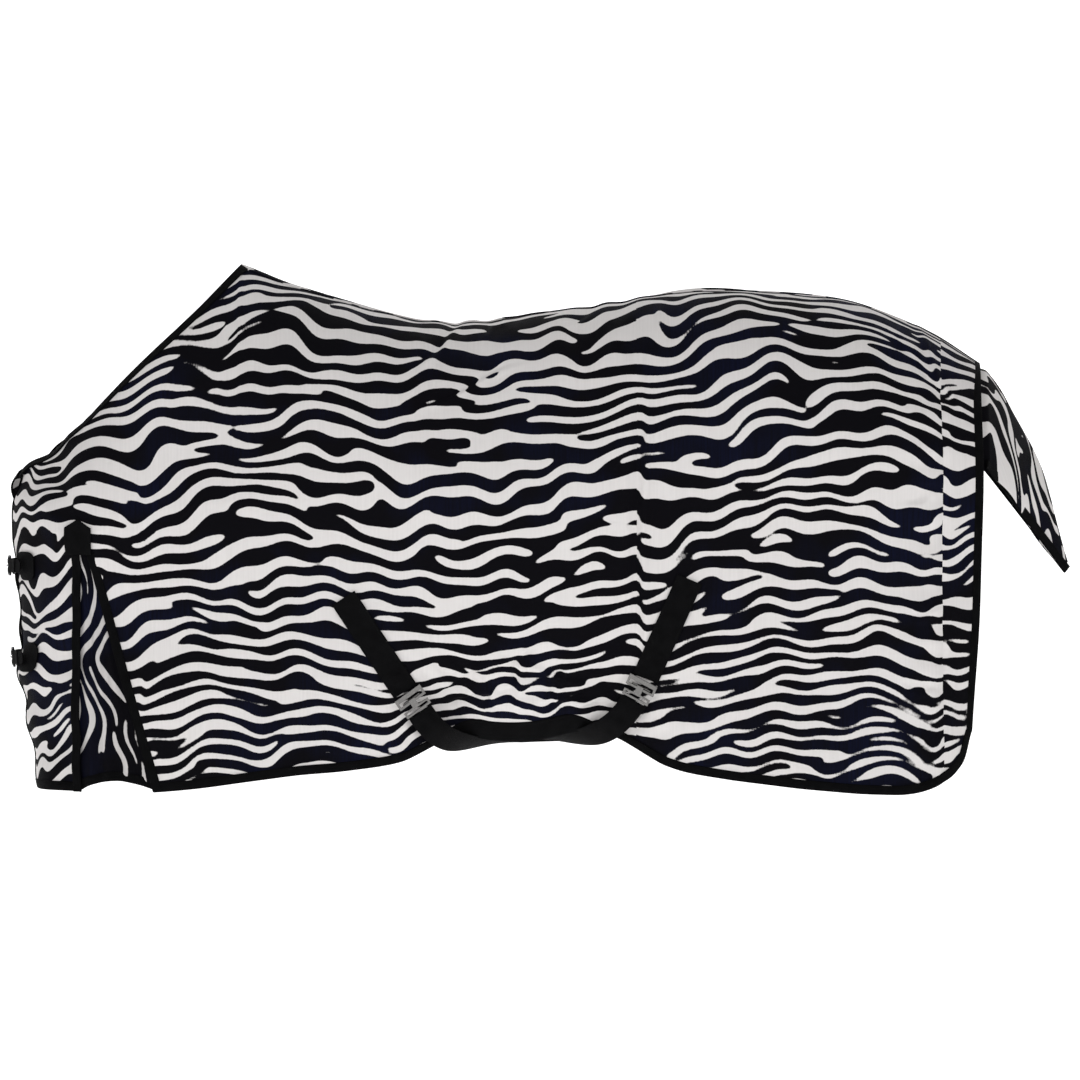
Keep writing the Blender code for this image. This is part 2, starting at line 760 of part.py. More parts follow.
def bent_plate(name, frame, stations, hole=None):
    """Sheet metal along (distance, rise, half width) stations, with a slot between two of them."""
    foot, down, across, out = frame

    def place(index, side_share):
        far, rise, half = stations[index]
        return foot + down * far + out * rise + across * (side_share * half)
    shares = [-1.0, -0.84, 0.84, 1.0]
    obj = sheet(name, list(range(len(stations))), shares, place, PLATE_T, silver_metal(),
                hole=lambda i, j: hole is not None and i in hole and j == 1)
    bevel = obj.modifiers.new("soft_edges", "BEVEL")
    bevel.width = 0.0004
    bevel.segments = 1
    bevel.limit_method = "ANGLE"
    bevel.angle_limit = math.radians(60)


def slot_plate(end):
    """The slotted plate that hangs from a tab's folded foot."""
    half = PLATE_W / 2
    start = 0.002
    rows = [(start, PLATE_RISE, half), (start + 0.005, PLATE_RISE, half), (start + 0.009, PLATE_RISE, half),
            (start + 0.017, PLATE_RISE, half), (start + PLATE_L, PLATE_RISE, half)]
    bent_plate(f"near_{end}_slot_plate", clip_frame(end, -1.0), rows, hole=(2,))


def t_hook(end):
    """The hook: its bar lies behind the plate, its neck comes through the slot and runs down."""
    front = PLATE_RISE + PLATE_T + 0.0007
    back = PLATE_RISE - PLATE_T - 0.0007
    slot_mid = 0.002 + 0.0130
    rows = [(slot_mid + 0.0066, back, 0.019), (slot_mid + 0.0018, back, 0.019), (slot_mid + 0.0012, back, 0.0065),
            (slot_mid, mix(back, front, 0.5), 0.0065), (slot_mid + 0.0012, front, 0.0065),
            (slot_mid + 0.016, front, 0.0065), (slot_mid + 0.0170, front, 0.027),
            (slot_mid + 0.0200, front, 0.027), (slot_mid + 0.0250, front, 0.027), (slot_mid + 0.0290, front, 0.027)]
    bent_plate(f"near_{end}_t_hook", clip_frame(end, -1.0), rows, hole=(7,))


HOOK_END = 0.002 + 0.0130 + 0.0290
HOOK_RISE = PLATE_RISE + PLATE_T + 0.0007


def girth_strap(end, other, drop_z):
    """The strap from the near clip, under the belly, to the off side's tab at the other end."""
    foot, down, across, out = clip_frame(end, -1.0)
    start = foot + down * (HOOK_END + 0.0022) + out * HOOK_RISE
    far_foot, far_down, far_across, far_out = clip_frame(other, 1.0)
    finish = far_foot + far_down * 0.0025 + far_out * 0.0012
    middle = Vector((STRAP_CROSSING[0], 0.0, STRAP_CROSSING[1] + drop_z))
    level = Vector((finish.x - start.x, finish.y - start.y, 0.0)).normalized()
    way = math.copysign(1.0, finish.x - start.x)
    leave = start + Vector((way * STRAP_LEAVE[0], STRAP_LEAVE[1], STRAP_LEAVE[2]))
    arrive = finish + Vector((-way * STRAP_ARRIVE[0], -STRAP_ARRIVE[1], STRAP_ARRIVE[2]))
    path = []
    for t in spread(9):
        path.append(bezier(start, leave, middle - level * STRAP_UNDER, middle, t))
    for t in spread(9)[1:]:
        path.append(bezier(middle, middle + level * STRAP_UNDER, arrive, finish, t))

    def place(index, share):
        before = path[max(index - 1, 0)]
        after = path[min(index + 1, len(path) - 1)]
        tangent = (after - before).normalized()
        half = (len(path) - 1) / 2
        under = min(index, 2 * half - index) / half
        beside = out if index < half else far_out
        outward = beside.lerp(Vector((0.0, 0.0, -1.0)), math.sin(under * math.pi / 2))
        wide = tangent.cross(outward).normalized()
        end_across = across if index < half else -far_across
        wide = wide.lerp(end_across, max(0.0, 1.0 - min(index, 2 * half - index) / 3)).normalized()
        return path[index] + wide * (share * GIRTH_W / 2)
    sheet(f"{end}_girth_strap", list(range(len(path))), [-1.0, 0.0, 1.0], place, WEBBING_T, black_webbing())


def bezier(a, b, c, d, t):
    r = 1.0 - t
    return a * r ** 3 + b * (3 * r * r * t) + c * (3 * r * t * t) + d * t ** 3


def main():
    clear_scene()
    if COLLECTION not in bpy.data.collections:
        bpy.data.collections.new(COLLECTION)
        bpy.context.scene.collection.children.link(bpy.data.collections[COLLECTION])
    spine_seam()
    tail_flap()
    for word, side in SIDES.items():
        side_panels(word, side)
        hind_panel(word, side)
        neck_binding(word, side)
        hem_binding(word, side)
        rear_binding(word, side)
        gusset(word, side)
        gusset_binding(word, side)
        gusset_hem_binding(word, side)
        gusset_patch(word, side)
        chest_flap(word, side)
        flap_hem_binding(word, side)
        flap_edge_binding(word, side, "flap_front_binding", 0.0015)
        flap_edge_binding(word, side, "flap_slit_binding", S_SLIT - 0.004 - BINDING_W)
        tail_binding(word, side)
        for end in GIRTH_TABS:
            girth_tab(word, side, end)
        for level in STRAP_LEVELS:
            chest_patch(level, word, side)
    for level in STRAP_LEVELS:
        billet(level)
        buckle_frame(level)
        buckle_tongue(level)
        keeper(level)
    for end in GIRTH_TABS:
        slot_plate(end)
        t_hook(end)
    girth_strap("front", "rear", 0.0)
    girth_strap("rear", "front", STRAP_CROSSING_STEP)


if __name__ == "__main__":
    main()
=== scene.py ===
"""Fly sheet for a horse, in worn shape: printed mesh cloth, bindings, webbing and hardware.

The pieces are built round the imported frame, in metres: +Z up, -X towards the head, near side -Y.
"""
import math

import bmesh
import bpy
import numpy as np
from bpy.props import FloatProperty, FloatVectorProperty, IntProperty, PointerProperty
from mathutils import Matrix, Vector


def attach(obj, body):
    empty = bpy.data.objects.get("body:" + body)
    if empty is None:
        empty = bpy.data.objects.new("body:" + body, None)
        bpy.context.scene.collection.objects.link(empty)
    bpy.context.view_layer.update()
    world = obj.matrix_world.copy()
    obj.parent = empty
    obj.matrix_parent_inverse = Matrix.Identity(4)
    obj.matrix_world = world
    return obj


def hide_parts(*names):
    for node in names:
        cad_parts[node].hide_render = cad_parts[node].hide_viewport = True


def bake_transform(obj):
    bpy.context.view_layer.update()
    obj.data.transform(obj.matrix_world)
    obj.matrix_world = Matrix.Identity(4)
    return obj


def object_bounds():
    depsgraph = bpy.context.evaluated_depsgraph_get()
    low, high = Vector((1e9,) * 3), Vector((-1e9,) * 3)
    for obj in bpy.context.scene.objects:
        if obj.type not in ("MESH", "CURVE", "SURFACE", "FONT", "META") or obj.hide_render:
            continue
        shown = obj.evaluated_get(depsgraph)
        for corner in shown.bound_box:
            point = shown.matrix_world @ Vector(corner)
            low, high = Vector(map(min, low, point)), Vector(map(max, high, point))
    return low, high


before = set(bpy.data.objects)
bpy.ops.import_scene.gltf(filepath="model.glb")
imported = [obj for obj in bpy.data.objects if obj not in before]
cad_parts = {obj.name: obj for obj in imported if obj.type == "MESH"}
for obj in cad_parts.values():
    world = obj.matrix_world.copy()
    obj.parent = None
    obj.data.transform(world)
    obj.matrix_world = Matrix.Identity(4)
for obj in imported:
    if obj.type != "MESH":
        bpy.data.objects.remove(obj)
CAD_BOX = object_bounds()

bl_info = {
    "name": "Fly Sheet",
    "version": (1, 0, 0),
    "blender": (4, 5, 0),
    "location": "3D View > Sidebar > Fly Sheet",
    "description": "Builds a horse's fly sheet with its cloth, bindings, webbing and hardware",
    "category": "Object",
}

# The outline of the worn sheet, as (x, value) pairs that a smooth curve passes through
TOPLINE = ((0.0, 0.0), (0.10, -0.037), (0.37, -0.108), (0.60, -0.088), (0.86, -0.049),
           (1.12, -0.066), (1.29, -0.124), (1.391, -0.184))
NECK_LINE = ((-0.419, -0.386), (-0.367, -0.357), (-0.31, -0.310), (-0.16, -0.160), (0.0, 0.0))
HALF_WIDTH = ((-0.20, 0.235), (-0.12, 0.242), (0.05, 0.272), (0.38, 0.312), (0.75, 0.288),
              (1.08, 0.292), (1.28, 0.258), (1.395, 0.205))
WIDEST_Z = ((-0.43, -0.520), (-0.20, -0.470), (0.05, -0.440), (0.38, -0.460), (0.75, -0.420),
            (1.08, -0.360), (1.395, -0.385))
HEM_Z = ((-0.43, -0.983), (-0.16, -0.987), (0.10, -0.955), (0.30, -0.931), (0.40, -0.885),
         (0.47, -0.892), (0.56, -0.892), (0.64, -0.876), (0.71, -0.884), (0.80, -0.938), (0.95, -0.966),
         (1.226, -0.991), (1.305, -0.974), (1.352, -0.932), (1.372, -0.872), (1.395, -0.860))
HEM_SPREAD = ((-0.20, 0.98), (0.15, 0.96), (0.30, 0.82), (0.42, 0.58), (0.66, 0.60),
              (0.79, 0.80), (0.95, 0.93), (1.20, 0.96), (1.395, 0.95))
REAR_X = 1.393
REAR_HEM_X = 1.372
SEAM_X = 1.318
FLANK_X = 0.745
CHEST_X = -0.20
CHEST_LENGTH = 0.229
CHEST_HALF_W = 0.235
CHEST_TUCK = 0.045
NECK_HALF_W = 0.135
TAIL_BACK_X = ((0.0, 1.397), (0.30, 1.452), (0.65, 1.514), (1.0, 1.557))
TAIL_BACK_Z = ((0.0, -0.187), (0.30, -0.266), (0.65, -0.403), (1.0, -0.560))
TAIL_TIP = (1.553, -0.580)
TAIL_ROOT_Z = -0.380
TAIL_ROOT_HALF_W = 0.200
TAIL_TIP_HALF_W = 0.022

# Slit of the shoulder gusset
SLIT_X = -0.296
SLIT_Z = -0.498
SLIT_FOOT_X = -0.160
SHEAR_END_X = 0.16
PATCH_PEAK_Z = -0.477
PATCH_SHOULDER_Z = -0.493
PATCH_FOOT_Z = -0.543
PATCH_W = 0.055

# Chest straps
STRAP_LEVELS = {"upper": -0.566, "lower": -0.738}
BUCKLE_AT = 0.036
BUCKLE_RISE = 0.0078
FRAME_L = 0.027
BAR_R = 0.0019
BILLET_FROM = -0.128
BILLET_TIP = 0.108
KEEPER_AT = 0.078
KEEPER_L = 0.011
WEBBING_T = 0.0020
CHEST_PATCH_FROM = 0.070
CHEST_PATCH_TO = 0.140
CHEST_PATCH_H = 0.054

# Girth tabs: top and foot of each, as (x, z)
GIRTH_TABS = {"front": ((0.197, -0.622), (0.312, -0.796)),
              "rear": ((0.844, -0.587), (0.762, -0.772))}
TAB_RISE = 0.0034

# Girth straps: where they start on the hooks, cross under the belly and end on the off side's tabs
HOOK_END = 0.0462
HOOK_RISE = 0.0099
TAB_OVERLAP = 0.0025
TAB_BEHIND = 0.0012
STRAP_CROSSING = (0.535, -0.8985)
STRAP_CROSSING_STEP = {"front": 0.0, "rear": 0.0050}
STRAP_UNDER = 0.17
STRAP_LEAVE = (0.050, -0.004, -0.078)
STRAP_ARRIVE = (0.080, -0.004, -0.140)

# The hem binding widens into a band between these two places; its width past the binding's own is painted
# shade, a black strip standing in for the shaded cloth under the belly
BELLY_SHADE_BAND = (0.375, 0.685)
BELLY_SHADE_BAND_W = 0.044

# Creases in the cloth: start (x, z), end (x, z), width, height, and how far the print is hidden in the fold
CREASES = (
    # Flank
    (0.757, -0.180, 0.750, -0.810, 0.010, 0.0060, 0.0130),
    # Withers and loin
    (0.549, -0.176, 0.306, -0.282, 0.006, 0.0030, 0.0090),
    (0.430, -0.100, 0.325, -0.205, 0.006, 0.0028, -0.0080),
    (0.690, -0.080, 0.590, -0.125, 0.006, 0.0024, 0.0070),
    (0.500, -0.100, 0.455, -0.135, 0.005, 0.0022, 0.0060),
    # Croup
    (1.196, -0.092, 1.345, -0.262, 0.008, 0.0034, 0.0080),
    (1.255, -0.095, 1.360, -0.300, 0.007, 0.0026, -0.0060),
    # Belly
    (0.335, -0.812, 0.585, -0.700, 0.007, 0.0040, 0.0050),
    (0.350, -0.832, 0.560, -0.775, 0.006, 0.0040, -0.0030),
    (0.700, -0.795, 0.520, -0.745, 0.007, 0.0040, 0.0040),
    (0.705, -0.812, 0.560, -0.812, 0.006, 0.0036, -0.0030),
    (0.540, -0.690, 0.505, -0.845, 0.007, 0.0036, 0.0030),
    (0.455, -0.760, 0.480, -0.850, 0.006, 0.0032, -0.0020),
    (0.610, -0.735, 0.585, -0.850, 0.006, 0.0032, 0.0020),
    # Breast and rear seam
    (-0.395, -0.410, -0.330, -0.500, 0.008, 0.0012, 0.0060),
    (1.315, -0.420, 1.240, -0.455, 0.007, 0.0026, 0.0050),
    (1.315, -0.640, 1.250, -0.668, 0.007, 0.0026, -0.0050),
    (1.315, -0.800, 1.235, -0.790, 0.007, 0.0026, 0.0040))

# How far apart the printed stripes are, as (depth down the cloth, period)
STRIPE_PERIODS = ((0.30, 0.0350), (0.45, 0.0370), (0.57, 0.0420),
                  (0.72, 0.0385), (0.90, 0.0310), (1.05, 0.0265))
GUSSET_PERIOD = 0.034
TAIL_PERIOD = 0.085

SIDES = {"near": -1.0, "off": 1.0}
SHEET = "sheet"
APRON = "chest_apron"
TAIL = "tail_flap"


# ---------------------------------------------------------------- the worn surface


def smooth(points, x):
    """Values at x of a smooth curve through (x, value) points, level outside their range."""
    xs, ys = (np.array(column, float) for column in zip(*points))
    x = np.clip(np.asarray(x, float), xs[0], xs[-1])
    ahead = np.minimum(np.arange(len(xs)) + 1, len(xs) - 1)
    behind = np.maximum(np.arange(len(xs)) - 1, 0)
    slopes = (ys[ahead] - ys[behind]) / (xs[ahead] - xs[behind])
    i = np.clip(np.searchsorted(xs, x, side="right") - 1, 0, len(xs) - 2)
    h = xs[i + 1] - xs[i]
    t = (x - xs[i]) / h
    value = ys[i] * (1 + 2 * t) * (1 - t) ** 2 + ys[i + 1] * t * t * (3 - 2 * t)
    return value + h * (slopes[i] * t * (1 - t) ** 2 - slopes[i + 1] * t * t * (1 - t))


def mix(a, b, t):
    return a + (b - a) * t


def ease(t):
    t = np.clip(t, 0.0, 1.0)
    return t * t * (3 - 2 * t)


def bump(x, middle, width):
    """A smooth hill of height 1 at middle."""
    return np.exp(-((x - middle) / width) ** 2)


def waves(u, v, seed, count, length_u, length_v):
    """Smooth, seeded noise over u and v with waves about length_u by length_v."""
    draw = np.random.default_rng(seed)
    total = 0.0 * u * v
    for _ in range(count):
        turn = draw.uniform(0.0, 2 * np.pi)
        ku = 2 * np.pi / length_u * (1 + draw.uniform(-0.5, 0.5)) * np.cos(turn)
        kv = 2 * np.pi / length_v * (1 + draw.uniform(-0.5, 0.5)) * np.sin(turn)
        total = total + np.cos(ku * u + kv * v + draw.uniform(0.0, 2 * np.pi))
    return total * math.sqrt(2.0 / count)


def make_contour():
    """The widest line of one side in plan, from the middle of the chest to the rear edge."""
    lean = np.radians(90.0 * (1.0 - np.arange(161) / 160.0))
    x = CHEST_X - CHEST_LENGTH * np.sin(lean)
    y = CHEST_HALF_W * np.cos(lean)
    body_x = np.linspace(CHEST_X, REAR_X, 321)[1:]
    x = np.concatenate([x, body_x])
    y = np.concatenate([y, smooth(HALF_WIDTH, body_x)])
    lean = np.concatenate([np.sin(lean), 0.0 * body_x])
    far = np.concatenate([[0.0], np.cumsum(np.hypot(np.diff(x), np.diff(y)))])
    return x, y, lean, far


PLAN_X, PLAN_Y, PLAN_LEAN, PLAN_FAR = make_contour()
S_END = PLAN_FAR[-1]


def station(x):
    """Distance round the contour from the middle of the chest to the column at x."""
    return float(np.interp(x, PLAN_X, PLAN_FAR))


S_SLIT = station(SLIT_X)
S_FOOT = station(SLIT_FOOT_X)
S_SHEAR_END = station(SHEAR_END_X)
S_WITHERS = station(0.0)
S_SEAM = station(SEAM_X)
S_FLANK = station(FLANK_X)


def neck_half_width(x):
    u = np.clip(x / NECK_LINE[0][0], 0.0, 1.0)
    return NECK_HALF_W * np.abs(np.sin(np.pi * u ** 0.9)) ** 0.85


def columns(s):
    """Lines from the top edge to the hem at stations s: points, distances down, depth at the widest."""
    s = np.atleast_1d(np.asarray(s, float))
    x = np.interp(s, PLAN_FAR, PLAN_X)
    y = np.interp(s, PLAN_FAR, PLAN_Y)
    lean = np.interp(s, PLAN_FAR, PLAN_LEAN)
    top_x = x + 0.010 * lean
    in_neck = top_x < 0.0
    top = np.stack([top_x, np.where(in_neck, neck_half_width(np.minimum(top_x, 0.0)), 0.0),
                    np.where(in_neck, smooth(NECK_LINE, top_x), smooth(TOPLINE, top_x))], axis=-1)
    roundness = np.where(in_neck, 0.55, np.minimum(1.0, 0.55 + top_x * 3.0))[:, None, None]
    wide = np.stack([x, y, smooth(WIDEST_Z, x)], axis=-1)
    hem_x = x + CHEST_TUCK * lean ** 4
    hem_x = np.where(x > SEAM_X, mix(SEAM_X, REAR_HEM_X, (x - SEAM_X) / (REAR_X - SEAM_X)), hem_x)
    hem = np.stack([hem_x, y * smooth(HEM_SPREAD, x), smooth(HEM_Z, hem_x)], axis=-1)
    a = np.linspace(0.0, np.pi / 2, 49)[None, :, None]
    across = top[:, None, :] + (wide - top)[:, None, :] * np.sin(a)
    down = wide[:, None, :] + (top - wide)[:, None, :] * np.cos(a)
    arc = np.concatenate([across[..., :2], down[..., 2:]], axis=-1)
    line = top[:, None, :] + (wide - top)[:, None, :] * (a / (np.pi / 2))
    upper = line + (arc - line) * roundness
    b = np.linspace(0.0, 1.0, 49)[None, 1:, None]
    lower = wide[:, None, :] + (hem - wide)[:, None, :] * np.concatenate([b ** 2.4, b ** 2.4, b], axis=-1)
    points = np.concatenate([upper, lower], axis=1)
    steps = np.linalg.norm(np.diff(points, axis=1), axis=-1)
    far = np.concatenate([np.zeros((len(s), 1)), np.cumsum(steps, axis=1)], axis=1)
    return points, far, far[:, 48]


def between(points, far, d):
    """Points at depth d down each column: far and d are (n, k) and (n,)."""
    row = np.arange(len(points))
    i = np.clip((far < d[:, None]).sum(axis=1) - 1, 0, far.shape[1] - 2)
    share = np.clip((d - far[row, i]) / (far[row, i + 1] - far[row, i]), 0.0, 1.0)[:, None]
    return mix(points[row, i], points[row, i + 1], share)


def bare(s, d):
    """Points of the unfolded cloth, side unsigned: s is (n,), d is (n,) or (n, m)."""
    points, far, _ = columns(s)
    d = np.asarray(d, float)
    if d.ndim == 1:
        return between(points, far, d)
    out = np.empty(d.shape + (3,))
    for i in range(len(points)):
        for axis in range(3):
            out[i, :, axis] = np.interp(d[i], far[i], points[i, :, axis])
    return out


def drop(s):
    return columns(s)[1][:, -1]


def drop_to(s, z):
    """Depth down the columns at s to the height z."""
    points, far, _ = columns(s)
    z = np.broadcast_to(np.asarray(z, float), (len(points),))
    return between(far[..., None], -points[..., 2], -z)[:, 0]


def outward(s, d):
    """Unit outward directions, side unsigned."""
    step = 0.004
    s = np.atleast_1d(np.asarray(s, float))
    shape_s = s if np.asarray(d).ndim == 1 else s[:, None]
    length = drop(s)
    length = length if np.asarray(d).ndim == 1 else length[:, None]
    high = bare(s, np.maximum(d - step, 0.0))
    low = bare(s, np.minimum(d + step, length))
    fore = bare(np.maximum(s - step, 0.0), d)
    aft = bare(np.minimum(s + step, S_END), d)
    mirrored = np.where(shape_s < step, 1.0, 0.0)[..., None] * np.ones(3)
    fore = np.where(mirrored > 0, aft * np.array([1.0, -1.0, 1.0]), fore)
    out = np.cross(aft - fore, low - high)
    return out / np.maximum(np.linalg.norm(out, axis=-1, keepdims=True), 1e-9)


def crease_parts(x, z):
    """Each crease's height and print offset at x and z."""
    for x0, z0, x1, z1, width, height, hidden in CREASES:
        length = math.hypot(x1 - x0, z1 - z0)
        along = ((x - x0) * (x1 - x0) + (z - z0) * (z1 - z0)) / length ** 2
        across = ((x - x0) * (z1 - z0) - (z - z0) * (x1 - x0)) / length
        across = across + 0.004 * np.sin(along * 9.0 + x0 * 50.0)
        reach = ease(along / 0.30) * ease((1.0 - along) / 0.30)
        yield (height * reach * (bump(across, -0.7 * width, width) - 0.8 * bump(across, 0.7 * width, width)),
               hidden * reach * np.tanh(across / (0.4 * width)) * bump(across, 0.0, 9.0 * width))


def folds(s, d, point, side):
    """How far the cloth stands off its plain shape, from creases, puckers and soft hanging folds."""
    x = point[..., 0]
    z = point[..., 2]
    seed = 20 if side < 0 else 60
    rise = 0.0016 * waves(x, z, seed, 10, 0.30, 0.34)
    # Puckers that run out from the clips along the belly
    clear = ease((z - smooth(HEM_Z, x) - 0.016 - 0.022 * bump(x, 0.53, 0.12)) / 0.030)
    belly = ease((-z - 0.66) / 0.16) * bump(x, 0.545, 0.20) * clear
    rise = rise + 0.0034 * belly * np.sin((z + 0.10 * np.cos((x - 0.54) * 9.0)) * 165.0 + 3.0 * x)
    rise = rise + 0.0022 * belly * waves(x, z, seed + 1, 12, 0.10, 0.045)
    rise = rise + clear * sum(height for height, _ in crease_parts(x, z))
    # The flaps sit a little behind the chest above them and buckle over their straps
    front = ease((S_SLIT + 0.05 - s if np.ndim(d) == 1 else S_SLIT + 0.05 - s[:, None]) / 0.10)
    rise = rise - 0.0075 * front * ease((-z - 0.47) / 0.07)
    rise = rise + 0.0035 * front * waves(x * 2.0, z, seed + 4, 10, 0.20, 0.10)
    # Hanging folds towards the hem
    skirt = ease((-z - 0.62) / 0.30) * (1.0 - 0.75 * bump(x, 0.545, 0.22))
    rise = rise + 0.0042 * skirt * waves(x, z, seed + 2, 8, 0.16, 0.9)
    # Short wrinkles over the loin and the back
    top = ease((z + 0.30) / 0.16)
    rise = rise + 0.0022 * top * bump(x, 0.42, 0.09) * np.sin((x + 0.8 * z) * 95.0)
    rise = rise + 0.0020 * top * bump(x, 0.70, 0.08) * np.sin((x - 0.6 * z) * 105.0)
    # Gathers before the rear seam
    gather = bump(x, SEAM_X - 0.03, 0.035) * ease((-z - 0.16) / 0.10)
    rise = rise + 0.0024 * gather * np.sin(z * 88.0 + 1.3 * np.sin(z * 17.0))
    rise = rise - 0.0030 * bump(x, SEAM_X, 0.008) * ease((-z - 0.14) / 0.08)
    return rise


def cloth_at(s, d, side, rise=0.0):
    """Points of the folded cloth, rise outside it, on the side given."""
    point = bare(s, d)
    out = outward(s, d)
    stand = folds(s, d, point, side) + rise
    point = point + out * stand[..., None]
    point[..., 1] = np.maximum(point[..., 1], 0.0004)
    return point * np.array([1.0, side, 1.0])


def facing(s, d, side):
    return outward(s, d) * np.array([1.0, side, 1.0])


def sheared(s, w):
    """Station s moved back behind the gusset's rear edge, w of the way from the slit to the hem."""
    edge = mix(S_SLIT, S_FOOT, w)
    moved = mix(edge, S_SHEAR_END, (s - S_SLIT) / (S_SHEAR_END - S_SLIT))
    return np.where(s >= S_SHEAR_END, s, moved)


def tail_surface(u, v):
    """Points of the tail flap: u across from -1 to 1, v from the dock to the tip."""
    edge_x = mix(REAR_X + 0.0075, TAIL_TIP[0], v)
    edge_z = mix(TAIL_ROOT_Z, TAIL_TIP[1], v)
    half_w = mix(TAIL_ROOT_HALF_W, TAIL_TIP_HALF_W, v ** 0.8)
    angle = np.abs(u) * np.pi / 2
    share = 1.0 - np.cos(angle)
    y = half_w * np.sin(angle) * np.sign(u)
    x = mix(smooth(TAIL_BACK_X, v), edge_x, share)
    z = mix(smooth(TAIL_BACK_Z, v), edge_z, share)
    return np.stack([x, y, z], axis=-1)


# ---------------------------------------------------------------- the zebra print


def zebra(u, v, periods, seed, black=0.21, bend=1.0, reach=3.4, spread=0.25):
    """The print's field over cloth coordinates u and v: above zero is black.

    Stripes run along u, as far apart as periods, (v, period) pairs, say. Noise kept to that spacing gives
    stripes that swell, taper, split and rejoin; reach, in waves a metre, sets how soon they do.
    """
    bend = bend * smooth(periods, v) / 0.040
    v = v + bend * (0.0110 * waves(u, v, seed + 1, 16, 0.25, 0.32)
                    + 0.0050 * waves(u, v, seed + 2, 16, 0.12, 0.13))
    table = np.linspace(-0.3, 1.7, 2001)
    count = np.interp(v, table, np.concatenate([[0.0], np.cumsum(0.001 / smooth(periods, table[1:]))]))
    wide, high, per_stripe, pace = 700, 900, 12, 0.004
    noise = np.random.default_rng(seed).standard_normal((wide, high))
    along = np.fft.fftfreq(wide, pace)[:, None]
    across = np.fft.fftfreq(high, 1.0 / per_stripe)[None, :]
    kept = np.exp(-0.5 * (along / reach) ** 2 - 0.5 * ((across - 1.0) / spread) ** 2)
    ripple = np.fft.ifft2(np.fft.fft2(noise) * kept)
    ripple = ripple / np.sqrt(np.mean(np.abs(ripple) ** 2))
    row = ((u + 0.3) / pace) % wide
    column = (count * per_stripe) % high
    i = np.floor(row).astype(int) % wide
    j = np.floor(column).astype(int) % high
    after = (i + 1) % wide
    below = (j + 1) % high
    past = row - np.floor(row)
    this_row = mix(ripple[i, j], ripple[after, j], past)
    next_row = mix(ripple[i, below], ripple[after, below], past)
    ripple = mix(this_row, next_row, column - np.floor(column))
    strength = np.abs(ripple)
    phase = np.angle(ripple)
    second = 0.20 + 0.12 * waves(u, v, seed + 4, 10, 0.30, 0.16)
    lean = 1.5 * waves(u, v, seed + 3, 10, 0.26, 0.14)
    threshold = 0.24 * waves(u, v, seed + 5, 12, 0.13, 0.05) - black
    stripe = np.cos(phase) + second * np.cos(2.0 * phase + 0.9 + lean)
    return strength / np.sqrt(strength ** 2 + 0.04) * stripe - threshold


# ---------------------------------------------------------------- building


def as_distance(points, field):
    """The field divided by its slope over the cloth, slivers smoothed away: metres from a stripe's edge."""
    slope = np.zeros_like(field)
    for axis in (0, 1):
        pace = np.linalg.norm(np.gradient(points, axis=axis), axis=-1)
        slope += (np.gradient(field, axis=axis) / np.maximum(pace, 1e-5)) ** 2
    edge = np.clip(field / np.sqrt(slope + 4.0), -0.006, 0.006)
    for axis in (0, 1, 0, 1, 0, 1):
        count = edge.shape[axis]
        before = edge.take(np.maximum(np.arange(count) - 1, 0), axis)
        after = edge.take(np.minimum(np.arange(count) + 1, count - 1), axis)
        edge = 0.5 * edge + 0.25 * (before + after)
    return edge


def grid(name, points, uv, print_field=None, keep=None, outside=None, seal=False, weld=False):
    """A sheet over an (n, m) grid of points.

    weld joins its last row to the first, and seal caps its ends too.
    """
    n, m = points.shape[:2]
    bm = bmesh.new()
    bmesh.ops.create_grid(bm, x_segments=n - 1, y_segments=m - 1, size=0.5)
    mesh = bpy.data.meshes.new(name)
    bm.to_mesh(mesh)
    bm.free()
    co = np.empty(len(mesh.vertices) * 3)
    mesh.vertices.foreach_get("co", co)
    co = co.reshape(-1, 3)
    i = np.rint((co[:, 0] + 0.5) * (n - 1)).astype(int)
    j = np.rint((co[:, 1] + 0.5) * (m - 1)).astype(int)
    mesh.vertices.foreach_set("co", points[i, j].ravel())
    corner = np.empty(len(mesh.loops), dtype=np.int32)
    mesh.loops.foreach_get("vertex_index", corner)
    layer = mesh.uv_layers.new(name="UVMap")
    layer.data.foreach_set("uv", uv[i[corner], j[corner]].astype(np.float32).ravel())
    if print_field is not None:
        made = mesh.attributes.new("print", "FLOAT", "POINT")
        made.data.foreach_set("value", as_distance(points, print_field)[i, j].astype(np.float32))
    mesh.update()
    if keep is not None or seal or weld:
        bm = bmesh.new()
        bm.from_mesh(mesh)
        if keep is not None:
            bm.verts.ensure_lookup_table()
            gone = [f for f in bm.faces
                    if not keep[min(i[v.index] for v in f.verts), min(j[v.index] for v in f.verts)]]
            bmesh.ops.delete(bm, geom=gone, context="FACES")
        if seal or weld:
            bmesh.ops.remove_doubles(bm, verts=bm.verts, dist=1e-6)
        if seal:
            bmesh.ops.holes_fill(bm, edges=[e for e in bm.edges if e.is_boundary], sides=0)
            bmesh.ops.recalc_face_normals(bm, faces=bm.faces)
        bm.to_mesh(mesh)
        bm.free()
    mesh.shade_smooth()
    if outside is not None and not seal:
        face = mesh.polygons[len(mesh.polygons) // 2]
        if face.normal.dot(Vector(outside(face.center))) < 0:
            mesh.flip_normals()
    obj = bpy.data.objects.new(name, mesh)
    bpy.context.scene.collection.objects.link(obj)
    return obj


def thicken(obj, thickness, offset=0.0):
    solid = obj.modifiers.new("thickness", "SOLIDIFY")
    solid.thickness = thickness
    solid.offset = offset
    return obj


def length_along(path):
    return np.concatenate([[0.0], np.cumsum(np.linalg.norm(np.diff(path, axis=0), axis=-1))])


